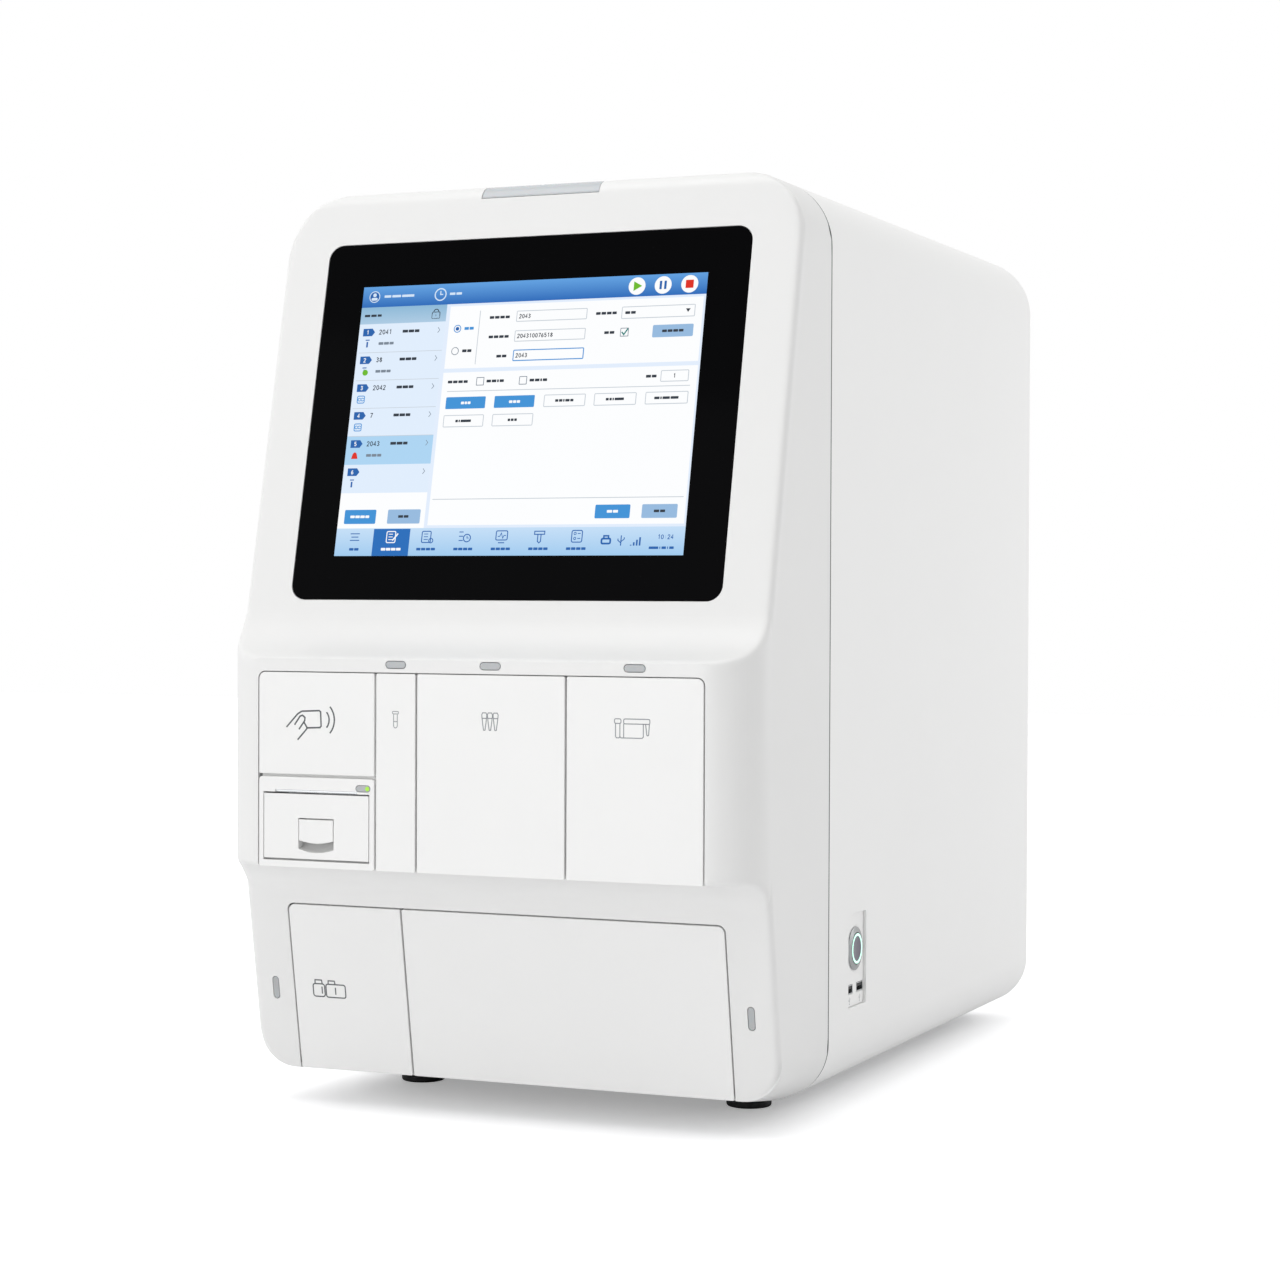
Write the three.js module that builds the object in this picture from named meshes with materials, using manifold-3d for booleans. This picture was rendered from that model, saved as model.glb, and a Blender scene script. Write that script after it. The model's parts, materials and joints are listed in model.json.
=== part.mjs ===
// Benchtop immunoassay analyzer: a moulded front with a tilted touch screen, three narrow loading
// drawers beside a card reader and a receipt printer, two wide supply drawers below, and a deep
// cover over a sheet-metal chassis with the pipetting gantry, incubator and reader.
// Millimetres, +Z up, front towards -Y, origin on the bench under the middle of the outer box.

import * as THREE from 'three';
import { mergeVertices } from 'three/addons/utils/BufferGeometryUtils.js';
import Module from 'manifold-3d';

const wasm = await Module();
wasm.setup();

// Driving dimensions. A depth is measured back from the foremost face, a rise up from the band's
// underside, a level up from the body's underside, and a drop down from the body's top.

const degree = Math.PI / 180;
const overrun = 2;
const weldTolerance = 1e-4;
const seatGap = 0.3;
const arcStep = 13 * degree;
const smallArcStep = 30 * degree;
const smallRadius = 6;
const wideSides = 32;
const smallSides = 16;

const body = {
  width: 370,
  depth: 642.5,
  height: 594,
  lowerHeight: 149.6,
  bandHeight: 135,
  fasciaDepth: 141.5,
  wall: 3,
  topRadius: 45,
  bottomRadius: 36,
  planRadius: 34,
  rearRadius: 25,
  partingGap: 0.8,
};

const foot = {
  height: 12,
  padRadius: 15,
  padHeight: 5,
  padRim: 1.2,
  nutRadius: 10,
  sideInset: 64,
  frontDepth: 166.5,
  rearInset: 99,
};

const profile = {
  bandEdge: 2,
  shelfSlope: 22.6 * degree,
  shelfFillet: 46,
  screenSetback: 26.7,
  screenTilt: 12.63 * degree,
  topEdge: 13,
  undercutFillet: 24,
  lowerSetback: 31.7,
  lowerTilt: 9.65 * degree,
  undersideRun: 70,
  undersideRadius: 26,
};

const glass = {
  sideInset: 33.8,
  bottomRise: 172.2,
  topDrop: 36,
  thickness: 2,
  radius: 10,
  clearance: 0.4,
  ledge: 6,
  frameBorder: 4,
  frameDepth: 6,
};

const lcd = { sideInset: 20.2, endInset: 19, thickness: 9 };

const lamp = { width: 84, bottomDrop: 8.5, topReach: 14 };

const front = {
  thickness: 4,
  gap: 1.3,
  edgeGap: 0.6,
  sideInset: 30.85,
  bandTopGap: 9.6,
  bottomRise: 0.2,
  topRadius: 5,
  cornerRadius: 1,
  moduleWidth: 84,
  sampleWidth: 27.8,
  tipShare: 0.5296,
};

const lowerFront = {
  sideInset: 31.45,
  bandGap: 28,
  bottomLevel: 11.3,
  bottleWidth: 82.4,
  gap: 1.2,
  edgeGap: 0.6,
  cornerRadius: 5,
  outerRadius: 4.4,
  gripDepth: 15,
};

const indicator = {
  length: 14,
  breadth: 4.5,
  depth: 3.2,
  bandTopGap: 4,
  lowerLength: 14.8,
  lowerBreadth: 4.3,
  lowerInset: 16.8,
  lowerLevel: 64.6,
};

const cardReader = {
  bottomRise: 60.1,
  thickness: 3,
  boardSideInset: 11,
  boardEndInset: 9.65,
  boardThickness: 1.6,
  bossRadius: 3,
  bossLength: 6,
  bossInset: 5,
  bossSides: 12,
};

const printer = {
  topRise: 58.2,
  bezelThickness: 3,
  cornerRadius: 2,
  lidWidth: 76.2,
  lidLeft: 3.8,
  lidBottomRise: 5.8,
  lidTopRise: 47.4,
  lidThickness: 3,
  lidSideGap: 0.7,
  lidBottomGap: 1.2,
  lidTopGap: 1,
  slotWidth: 59.7,
  slotHeight: 1.6,
  bayWall: 1.6,
  bayTopRise: 49.9,
  bayBottomRise: 3.7,
  bayDepth: 50,
  baySideInset: 1.2,
};

const notch = { left: 25.3, width: 25.6, bottomRise: 10, topRise: 32, depth: 11, wall: 2 };

const latch = {
  clearance: 0.4,
  thickness: 2.2,
  bottomRise: 16,
  topGap: 0.8,
  barrelRadius: 1.8,
  pivotDepth: 2,
};

const platen = {
  radius: 5,
  length: 58,
  axleRadius: 2,
  axleLength: 3.4,
  depth: 10,
  rise: 39.4,
  armThickness: 2.5,
  armGap: 0.6,
  armBelow: 5,
  armAbove: 4.5,
  armBehind: 4,
  boreClearance: 0.35,
};

const roll = { radius: 17, length: 57, coreRadius: 6, depth: 31 };

const printHead = { length: 60, thickness: 4.7, bottomRise: 37.4 };

const feedButton = { width: 10, height: 3.8, right: 3, bottomRise: 50.2, clearance: 0.3 };

const deck = {
  topRise: 6.4,
  thickness: 2.5,
  frontDepth: 21,
  moduleDepth: 56,
  rearGap: 93.5,
  guideHeight: 8,
  guideThickness: 1.8,
  guideBackDepth: 262,
};

const chassis = {
  sheet: 2.5,
  sideInset: 28,
  frontDepth: 151,
  beamLead: 19,
  towerRise: 238.4,
  joggle: 2,
  floorSideInset: 39,
  floorFrontDepth: 125,
  dividerBackDepth: 381,
  runnerWidth: 3,
  runnerInset: 4,
};

const tray = { wall: 2, sideInset: 1.5 };

const sampleRack = {
  length: 250,
  topRise: 66.4,
  places: 6,
  pitch: 38,
  boreRadius: 6.8,
  boreFloorRise: 13.4,
  firstPlace: 28,
};

const tube = { count: 1, radius: 6.4, length: 95, capRadius: 7.6, capLength: 18 };

const tipTray = { length: 200, topRise: 43.4 };

const tipRack = {
  topRise: 64.4,
  columnPitch: 15.7,
  rowPitch: 39,
  rimRadius: 4.2,
  rimHeight: 3,
  rimSides: 8,
};

const reagentTray = {
  length: 200,
  topRise: 34.4,
  laneWidth: 12.4,
  leastRib: 1.8,
  laneFloorRise: 10.4,
  endWall: 4,
};

const strip = {
  count: 2,
  bodyWidth: 10.4,
  flangeWidth: 11.8,
  flangeThickness: 1.4,
  topRise: 37.4,
  tabLength: 14,
};

const bottleTray = { length: 225, topLevel: 50 };

const bottle = {
  sideGap: 1.2,
  bodyHeight: 74,
  edgeRadius: 8,
  gap: 2,
  neckRadius: 14,
  neckHeight: 6,
  capRadius: 17,
  capHeight: 15,
  capSides: 24,
};

const wasteTray = { length: 225, topLevel: 36 };

const wasteBin = { bandGap: 37.6, wall: 2, cornerRadius: 4 };

const drawerBottomGap = 0.3;

const port = {
  centreDepth: 199.1,
  bottomLevel: 53.6,
  width: 36.2,
  height: 62,
  radius: 2,
  recess: 2,
  thickness: 2.5,
  border: 4,
  clearance: 0.3,
};

const powerButton = {
  level: 91.6,
  bezelRadius: 14.5,
  bezelInner: 10.6,
  buttonRadius: 10.1,
  bodyLength: 8,
  barrelRadius: 12.5,
  barrelLength: 9,
};

const usb = { level: 65.3, spread: 20.6, width: 13.2, tall: 5.9, shell: 0.6, length: 12, backing: 1.6 };

const rear = {
  sideInset: 35,
  endInset: 33,
  cornerRadius: 8,
  thickness: 3,
  slotCount: 9,
  slotLength: 90,
  slotWidth: 3,
  slotPitch: 9,
  slotInset: 70,
  slotDrop: 176,
};

const fan = {
  size: 92,
  cornerRadius: 4,
  depth: 25,
  boreRadius: 43,
  hubRadius: 18,
  strutWidth: 4,
  strutDepth: 3,
  inset: 70,
  level: 318,
  blades: 5,
  bladeReach: 40.5,
  bladeThickness: 1.6,
  bladeDepth: 14,
  bladePitch: 35 * degree,
  rotorDepth: 18,
  grilleRings: 4,
  grilleSlot: 4,
  grilleBar: 5,
};

const inlet = {
  inset: 50,
  level: 68,
  flangeWidth: 50,
  flangeHeight: 24,
  flangeThickness: 2,
  bodyWidth: 28,
  bodyHeight: 20,
  bodyDepth: 26,
  socketWidth: 24,
  socketHeight: 17,
  socketDepth: 17,
  pinWidth: 2,
  pinHeight: 4,
  pinLength: 14,
  pinSpread: 7,
  pinDrop: 2,
};

const gantry = {
  placeShare: 0.411,
  beamDepth: 24,
  beamHeight: 20,
  rise: 210.4,
  carriageWidth: 60,
  carriageThickness: 8,
  carriageBelow: 16,
  carriageAbove: 30,
  headWidth: 36,
  headThickness: 22,
  headHeight: 96,
  headBelow: 24,
  nozzleRadius: 3,
  nozzleLength: 30,
};

const incubator = {
  rightGap: 7,
  widthShare: 0.57,
  placeShare: 0.237,
  length: 120,
  height: 36,
  grooveWidth: 12.4,
  grooveDepth: 10,
  leastPitch: 28,
};

const reader = {
  leftGap: 27,
  widthShare: 0.26,
  placeShare: 0.237,
  length: 100,
  height: 62,
  lensRadius: 12,
  lensLength: 14,
};

const supply = { x: 5, width: 130, rearGap: 24, length: 105, height: 42 };

const board = {
  x: -50,
  width: 140,
  bottomRise: 28.4,
  height: 180,
  thickness: 1.8,
  legLength: 5,
  legRadius: 3,
  legInset: 8,
  legSides: 8,
};

// Places that follow from the sizes

const frontY = -body.depth / 2;
const partingY = frontY + body.fasciaDepth;
const rearY = frontY + body.depth;
const halfWidth = body.width / 2;
const bottomZ = foot.height;
const bandBottom = bottomZ + body.lowerHeight;
const bandTop = bandBottom + body.bandHeight;
const topZ = bottomZ + body.height;
const level = (height) => bottomZ + height;
const rise = (height) => bandBottom + height;
const drop = (height) => topZ - height;
const back = (depth) => frontY + depth;
const screenY = (z) => back(profile.screenSetback + (z - bandTop) * Math.tan(profile.screenTilt));
const lowerY = (z) => back(profile.lowerSetback + (bandBottom - z) * Math.tan(profile.lowerTilt));

const moduleLeft = -halfWidth + front.sideInset;
const moduleRight = moduleLeft + front.moduleWidth;
const sampleLeft = moduleRight + front.gap;
const sampleRight = sampleLeft + front.sampleWidth;
const tipLeft = sampleRight + front.gap;
const reagentRight = -moduleLeft;
const tipRight = tipLeft + (reagentRight - tipLeft - front.gap) * front.tipShare;
const reagentLeft = tipRight + front.gap;
const windowHalf = reagentRight + front.edgeGap;
const frontTop = bandTop - front.bandTopGap;
const windowTop = frontTop + front.edgeGap;
const windowFloor = bandBottom + body.wall + seatGap;

const bottleLeft = -halfWidth + lowerFront.sideInset;
const bottleRight = bottleLeft + lowerFront.bottleWidth;
const wasteLeft = bottleRight + lowerFront.gap;
const wasteRight = -bottleLeft;
const lowerFrontTop = bandBottom - lowerFront.bandGap;
const lowerFrontBottom = level(lowerFront.bottomLevel);
const lowerHalf = wasteRight + lowerFront.edgeGap;

const deckTop = rise(deck.topRise);
const deckBack = rearY - deck.rearGap;
const guideBack = back(deck.guideBackDepth);
// A share of the room between the drawers' guides and the deck's back edge
const behindDrawers = (share) => guideBack + (deckBack - guideBack) * share;
const trayFloor = deckTop + drawerBottomGap;
const trayFront = back(front.thickness + seatGap);
const lowerTrayFloor = lowerFrontBottom + front.thickness / 2;

// Solids and outlines

function solid(geometry) {
  geometry.deleteAttribute('normal');
  geometry.deleteAttribute('uv');
  const merged = mergeVertices(geometry, weldTolerance);
  const vertProperties = new Float32Array(merged.attributes.position.array);
  const triVerts = new Uint32Array(merged.index.array);
  return new wasm.Manifold(new wasm.Mesh({ numProp: 3, vertProperties, triVerts }));
}

// Moves the sides of a counterclockwise outline inwards and rounds its corners, given as [a, b, radius].
function outline(corners, inset = 0) {
  const count = corners.length;
  const sides = corners.map(([a, b], i) => {
    const [c, d] = corners[(i + 1) % count];
    const length = Math.hypot(c - a, d - b);
    const along = [(c - a) / length, (d - b) / length];
    return { point: [a - along[1] * inset, b + along[0] * inset], along };
  });
  return sides.flatMap((side, i) => {
    const before = sides[(i + count - 1) % count];
    const turnSine = before.along[0] * side.along[1] - before.along[1] * side.along[0];
    const turnCosine = before.along[0] * side.along[0] + before.along[1] * side.along[1];
    const turn = Math.atan2(turnSine, turnCosine);
    const reach = [side.point[0] - before.point[0], side.point[1] - before.point[1]];
    const run = (reach[0] * side.along[1] - reach[1] * side.along[0]) / turnSine;
    const corner = [before.point[0] + before.along[0] * run, before.point[1] + before.along[1] * run];
    const stated = corners[i][2] ?? 0;
    const radius = Math.max(0, stated - Math.sign(turn) * inset);
    if (stated === 0 || radius === 0) return [corner];
    const tangent = radius * Math.tan(Math.abs(turn) / 2);
    const start = [corner[0] - before.along[0] * tangent, corner[1] - before.along[1] * tangent];
    const reachIn = radius * Math.sign(turn);
    const centre = [start[0] - before.along[1] * reachIn, start[1] + before.along[0] * reachIn];
    const step = stated < smallRadius ? smallArcStep : arcStep;
    const steps = Math.max(1, Math.ceil(Math.abs(turn) / step));
    return Array.from({ length: steps + 1 }, (_, k) => {
      const angle = (turn * k) / steps;
      const spoke = [start[0] - centre[0], start[1] - centre[1]];
      return [
        centre[0] + spoke[0] * Math.cos(angle) - spoke[1] * Math.sin(angle),
        centre[1] + spoke[0] * Math.sin(angle) + spoke[1] * Math.cos(angle),
      ];
    });
  });
}

// The third and fourth radii are those of the right and left top corners.
function rectangle(left, right, bottom, top, radius = 0, topRight = radius, topLeft = topRight) {
  return outline([
    [left, bottom, radius],
    [right, bottom, radius],
    [right, top, topRight],
    [left, top, topLeft],
  ]);
}

function circle(centreA, centreB, radius, sides) {
  return Array.from({ length: sides }, (_, k) => {
    const angle = (2 * Math.PI * k) / sides;
    return [centreA + radius * Math.cos(angle), centreB + radius * Math.sin(angle)];
  });
}

function extrusion(points, length) {
  const shape = new THREE.Shape(points.map(([a, b]) => new THREE.Vector2(a, b)));
  return new THREE.ExtrudeGeometry(shape, { depth: length, bevelEnabled: false });
}

// Outline in (y, z), carried along X.
function alongX(points, x0, x1) {
  const geometry = extrusion(points, x1 - x0);
  const turned = new THREE.Matrix4().makeBasis(
    new THREE.Vector3(0, 1, 0),
    new THREE.Vector3(0, 0, 1),
    new THREE.Vector3(1, 0, 0),
  );
  return solid(geometry.applyMatrix4(turned).translate(x0, 0, 0));
}

// Outline in (x, z), carried along Y.
function alongY(points, y0, y1) {
  return solid(extrusion(points, y1 - y0).rotateX(Math.PI / 2).translate(0, y1, 0));
}

// Outline in (x, y), carried along Z.
function alongZ(points, z0, z1) {
  return solid(extrusion(points, z1 - z0).translate(0, 0, z0));
}

// Outline on a tilted face, given across and up that face, carried from one height over the face to another.
function onFace(face, points, low, high) {
  return solid(extrusion(points, high - low).translate(0, 0, low).applyMatrix4(face));
}

function block(x0, x1, y0, y1, z0, z1) {
  const geometry = new THREE.BoxGeometry(x1 - x0, y1 - y0, z1 - z0);
  return solid(geometry.translate((x0 + x1) / 2, (y0 + y1) / 2, (z0 + z1) / 2));
}

// Profile of [radius, position] pairs turned about an axis through a point.
function turned(axis, centre, sides, pairs) {
  const geometry = new THREE.LatheGeometry(pairs.map(([r, p]) => new THREE.Vector2(r, p)), sides);
  if (axis === 'x') geometry.rotateZ(-Math.PI / 2);
  if (axis === 'z') geometry.rotateX(Math.PI / 2);
  const made = solid(geometry.translate(...centre));
  return made.volume() < 0 ? solid(flipped(geometry)) : made;
}

function flipped(geometry) {
  const index = geometry.index.array;
  for (let i = 0; i < index.length; i += 3) [index[i], index[i + 1]] = [index[i + 1], index[i]];
  return geometry;
}

function rod(axis, centre, radius, from, to, sides) {
  return turned(axis, centre, sides, [[0, from], [radius, from], [radius, to], [0, to]]);
}

const join = (pieces) => pieces.reduce((sum, piece) => sum.add(piece));

const model = new THREE.Group();

function add(name, shape, finish) {
  const { vertProperties, triVerts } = shape.getMesh();
  const geometry = new THREE.BufferGeometry();
  geometry.setAttribute('position', new THREE.BufferAttribute(new Float32Array(vertProperties), 3));
  geometry.setIndex(new THREE.BufferAttribute(new Uint32Array(triVerts), 1));
  geometry.computeVertexNormals();
  const mesh = new THREE.Mesh(geometry, new THREE.MeshStandardMaterial(finish));
  mesh.name = name;
  model.add(mesh);
}

const whitePlastic = { color: 0xeef0f1, roughness: 0.5, metalness: 0 };
const coverPlastic = { color: 0xe4e6e7, roughness: 0.55, metalness: 0 };
const drawerPlastic = { color: 0xf0f1f2, roughness: 0.45, metalness: 0 };
const blackGlass = { color: 0x050506, roughness: 0.05, metalness: 0 };
const lensPlastic = { color: 0xa9adb0, roughness: 0.35, metalness: 0 };
const lampPlastic = { color: 0xd5d9dc, roughness: 0.3, metalness: 0 };
const blackRubber = { color: 0x141414, roughness: 0.8, metalness: 0 };
const trayPlastic = { color: 0xc9ccce, roughness: 0.6, metalness: 0 };
const darkPlastic = { color: 0x2a2c2e, roughness: 0.6, metalness: 0 };
const sheetMetal = { color: 0xb4b8ba, roughness: 0.4, metalness: 0.9 };
const brightMetal = { color: 0xc8cacb, roughness: 0.25, metalness: 1 };
const circuitBoard = { color: 0x1f5a3a, roughness: 0.5, metalness: 0 };
const paperWhite = { color: 0xf6f5f1, roughness: 0.9, metalness: 0 };
const litPlastic = { color: 0xbfe88a, roughness: 0.4, metalness: 0 };
const bottlePlastic = { color: 0xe9ecee, roughness: 0.4, metalness: 0 };
const tubePlastic = { color: 0xd7c9d9, roughness: 0.25, metalness: 0 };

const glassWidth = body.width - 2 * glass.sideInset;
const glassBottom = rise(glass.bottomRise);
const glassMiddle = (glassBottom + drop(glass.topDrop)) / 2;
const glassHeight = (drop(glass.topDrop) - glassBottom) / Math.cos(profile.screenTilt);

const screenFace = new THREE.Matrix4()
  .makeBasis(
    new THREE.Vector3(1, 0, 0),
    new THREE.Vector3(0, Math.sin(profile.screenTilt), Math.cos(profile.screenTilt)),
    new THREE.Vector3(0, -Math.cos(profile.screenTilt), Math.sin(profile.screenTilt)),
  )
  .setPosition(0, screenY(glassMiddle), glassMiddle);

// The lower face's own heights are measured up it from the band's underside.
const lowerFace = new THREE.Matrix4()
  .makeBasis(
    new THREE.Vector3(1, 0, 0),
    new THREE.Vector3(0, -Math.sin(profile.lowerTilt), Math.cos(profile.lowerTilt)),
    new THREE.Vector3(0, -Math.cos(profile.lowerTilt), -Math.sin(profile.lowerTilt)),
  )
  .setPosition(0, lowerY(bandBottom), bandBottom);
const upLower = (z) => (z - bandBottom) / Math.cos(profile.lowerTilt);

// Outer casing

const bodySection = [
  [-halfWidth, bottomZ, body.bottomRadius],
  [halfWidth, bottomZ, body.bottomRadius],
  [halfWidth, topZ, body.topRadius],
  [-halfWidth, topZ, body.topRadius],
];

// The front part of the underside slants up to the foot of the lower face.
const undersideTilt = Math.atan2(lowerFront.bottomLevel, profile.undersideRun);
const underside = new THREE.Matrix4()
  .makeBasis(
    new THREE.Vector3(1, 0, 0),
    new THREE.Vector3(0, Math.sin(undersideTilt), Math.cos(undersideTilt)),
    new THREE.Vector3(0, -Math.cos(undersideTilt), Math.sin(undersideTilt)),
  )
  .setPosition(0, lowerY(lowerFrontBottom) + profile.undersideRun, bottomZ);

const slantedSection = [
  [-halfWidth, 0, profile.undersideRadius],
  [halfWidth, 0, profile.undersideRadius],
  [halfWidth, body.height + body.depth],
  [-halfWidth, body.height + body.depth],
];

// Side view of the moulded front, in (y, z), counterclockwise, closed at the given back.
function frontProfile(backY) {
  const shelfRun = (z) => (z - bandTop) / Math.tan(profile.shelfSlope);
  const slopes = 1 / Math.tan(profile.shelfSlope) - Math.tan(profile.screenTilt);
  const shelfRise = profile.screenSetback / slopes;
  const shelfZ = bandTop + shelfRise;
  return [
    [backY, topZ],
    [screenY(topZ), topZ, profile.topEdge],
    [back(shelfRun(shelfZ)), shelfZ, profile.shelfFillet],
    [frontY, bandTop, profile.bandEdge],
    [frontY, bandBottom, profile.bandEdge],
    [lowerY(bandBottom), bandBottom, profile.undercutFillet],
    [lowerY(bottomZ), bottomZ],
    [backY, bottomZ],
  ];
}

function frontForm(inset, backY) {
  const section = alongY(outline(bodySection, inset), frontY - overrun, backY);
  const side = alongX(outline(frontProfile(backY + inset), inset), -halfWidth - overrun, halfWidth + overrun);
  const plan = alongZ(
    outline(
      [
        [-halfWidth, frontY, body.planRadius],
        [halfWidth, frontY, body.planRadius],
        [halfWidth, backY + overrun],
        [-halfWidth, backY + overrun],
      ],
      inset,
    ),
    bottomZ - overrun,
    topZ + overrun,
  );
  const slanted = onFace(underside, outline(slantedSection, inset), -body.fasciaDepth, body.depth);
  return section.intersect(side).intersect(plan).intersect(slanted);
}

const fasciaBack = partingY - body.partingGap / 2;
const fasciaShell = frontForm(0, fasciaBack).subtract(frontForm(body.wall, fasciaBack + overrun));

function lampBox(grow) {
  return block(
    -lamp.width / 2 - grow,
    lamp.width / 2 + grow,
    frontY,
    screenY(topZ) + lamp.topReach + grow,
    drop(lamp.bottomDrop) - grow,
    topZ + overrun,
  );
}

function glassOutline(grow) {
  return rectangle(
    -glassWidth / 2 - grow,
    glassWidth / 2 + grow,
    -glassHeight / 2 - grow,
    glassHeight / 2 + grow,
    glass.radius + grow,
  );
}

function pill(centreA, centreB, length, breadth, grow = 0) {
  return rectangle(
    centreA - length / 2 - grow,
    centreA + length / 2 + grow,
    centreB - breadth / 2 - grow,
    centreB + breadth / 2 + grow,
    Math.min(length, breadth) / 2 + grow,
  );
}

const upperIndicators = {
  sample_indicator: (sampleLeft + sampleRight) / 2,
  tip_indicator: (tipLeft + tipRight) / 2,
  reagent_indicator: (reagentLeft + reagentRight) / 2,
};
const lowerIndicatorX = halfWidth - indicator.lowerInset;
const lowerIndicators = { bottle_indicator: -lowerIndicatorX, waste_indicator: lowerIndicatorX };

function upperPill(x, grow) {
  return pill(x, bandTop - indicator.bandTopGap, indicator.length, indicator.breadth, grow);
}

function lowerPill(x, grow) {
  return pill(x, upLower(level(indicator.lowerLevel)), indicator.lowerBreadth, indicator.lowerLength, grow);
}

function frontFascia() {
  const screenFrame = onFace(screenFace, glassOutline(glass.frameBorder), -glass.frameDepth, -body.wall / 2);
  const pocket = onFace(screenFace, glassOutline(glass.clearance), -glass.thickness - seatGap, overrun);
  const opening = onFace(screenFace, glassOutline(-glass.ledge), -glass.frameDepth - overrun, overrun);
  const drawerWindow = alongY(
    rectangle(-windowHalf, windowHalf, windowFloor, windowTop, 0, front.topRadius),
    frontY - overrun,
    back(body.wall + overrun),
  );
  const lipRelief = block(
    -windowHalf,
    windowHalf,
    frontY - overrun,
    back(front.thickness + seatGap),
    bandBottom - overrun,
    windowFloor + overrun,
  );
  const lowerWindow = onFace(
    lowerFace,
    rectangle(
      -lowerHalf,
      lowerHalf,
      upLower(lowerFrontBottom - lowerFront.edgeGap),
      upLower(lowerFrontTop + lowerFront.edgeGap),
      0,
      lowerFront.cornerRadius,
    ),
    -body.wall - overrun,
    overrun,
  );
  const gripSlot = block(
    -lowerHalf,
    lowerHalf,
    frontY - overrun,
    lowerY(lowerFrontBottom) + lowerFront.gripDepth,
    bottomZ - overrun,
    lowerFrontBottom + 2 * body.wall,
  );
  const cuts = [pocket, opening, drawerWindow, lipRelief, lowerWindow, gripSlot, lampBox(seatGap)];
  for (const x of Object.values(upperIndicators)) {
    cuts.push(alongY(upperPill(x, seatGap), frontY - overrun, back(body.wall + overrun)));
  }
  for (const x of Object.values(lowerIndicators)) {
    cuts.push(onFace(lowerFace, lowerPill(x, seatGap), -body.wall - overrun, overrun));
  }
  add('front_fascia', fasciaShell.add(screenFrame).subtract(join(cuts)), whitePlastic);
}

const coverFront = partingY + body.partingGap / 2;

function coverForm(inset, frontCut) {
  const section = alongY(outline(bodySection, inset), frontCut, rearY + overrun);
  const side = alongX(
    outline(
      [
        [frontCut - overrun, bottomZ],
        [rearY, bottomZ, body.rearRadius],
        [rearY, topZ, body.rearRadius],
        [frontCut - overrun, topZ],
      ],
      inset,
    ),
    -halfWidth - overrun,
    halfWidth + overrun,
  );
  const plan = alongZ(
    outline(
      [
        [-halfWidth, frontCut - overrun],
        [halfWidth, frontCut - overrun],
        [halfWidth, rearY, body.rearRadius],
        [-halfWidth, rearY, body.rearRadius],
      ],
      inset,
    ),
    bottomZ - overrun,
    topZ + overrun,
  );
  return section.intersect(side).intersect(plan);
}

const portY = back(port.centreDepth);

// Outline in (y, z) of the recess for the power button and sockets.
function portOutline(grow) {
  return rectangle(
    portY - port.width / 2 - grow,
    portY + port.width / 2 + grow,
    level(port.bottomLevel) - grow,
    level(port.bottomLevel) + port.height + grow,
    port.radius + grow,
  );
}

const rearHalf = halfWidth - rear.sideInset;

function rearOutline(grow) {
  return rectangle(
    -rearHalf - grow,
    rearHalf + grow,
    level(rear.endInset) - grow,
    drop(rear.endInset) + grow,
    rear.cornerRadius + grow,
  );
}

const baseHalf = halfWidth - body.bottomRadius - 2 * body.wall;
const baseFront = coverFront + 3 * body.wall;
const baseBack = rearY - body.rearRadius;

function mainCover() {
  const shell = coverForm(0, coverFront).subtract(coverForm(body.wall, coverFront - 2 * overrun));
  const cuts = [
    alongY(rearOutline(seatGap), rearY - 2 * body.wall, rearY + overrun),
    alongX(portOutline(0), halfWidth - 2 * body.wall, halfWidth + overrun),
    block(
      -baseHalf - seatGap,
      baseHalf + seatGap,
      baseFront - seatGap,
      baseBack + seatGap,
      bottomZ - overrun,
      bottomZ + body.wall + overrun,
    ),
  ];
  add('main_cover', shell.subtract(join(cuts)), coverPlastic);
}

function basePlate() {
  const plate = block(-baseHalf, baseHalf, baseFront, baseBack, bottomZ, bottomZ + body.wall);
  add('base_plate', plate, sheetMetal);
}

const footX = halfWidth - foot.sideInset;
const footPlaces = {
  foot_front_left: [-footX, back(foot.frontDepth)],
  foot_front_right: [footX, back(foot.frontDepth)],
  foot_rear_left: [-footX, rearY - foot.rearInset],
  foot_rear_right: [footX, rearY - foot.rearInset],
};

function feet() {
  for (const [name, [x, y]] of Object.entries(footPlaces)) {
    const nutTop = bottomZ - seatGap;
    add(
      name,
      turned('z', [x, y, 0], wideSides, [
        [0, 0],
        [foot.padRadius - foot.padRim, 0],
        [foot.padRadius, foot.padRim],
        [foot.padRadius, foot.padHeight],
        [foot.nutRadius, foot.padHeight],
        [foot.nutRadius, nutTop],
        [0, nutTop],
      ]),
      blackRubber,
    );
  }
}

// Screen and status lamp

function screen() {
  add('screen_glass', onFace(screenFace, glassOutline(0), -glass.thickness, 0), blackGlass);
  const halfPanel = glassWidth / 2 - lcd.sideInset;
  const halfRise = glassHeight / 2 - lcd.endInset;
  const panel = rectangle(-halfPanel, halfPanel, -halfRise, halfRise);
  const top = -glass.thickness - seatGap;
  add('lcd_panel', onFace(screenFace, panel, top - lcd.thickness, top), darkPlastic);
  add('status_lamp', fasciaShell.intersect(lampBox(0)), lampPlastic);
}

function indicators() {
  for (const [name, x] of Object.entries(upperIndicators)) {
    add(name, alongY(upperPill(x, 0), frontY, back(indicator.depth)), lensPlastic);
  }
  for (const [name, x] of Object.entries(lowerIndicators)) {
    add(name, onFace(lowerFace, lowerPill(x, 0), -indicator.depth, 0), lensPlastic);
  }
}

// Card reader and receipt printer

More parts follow.
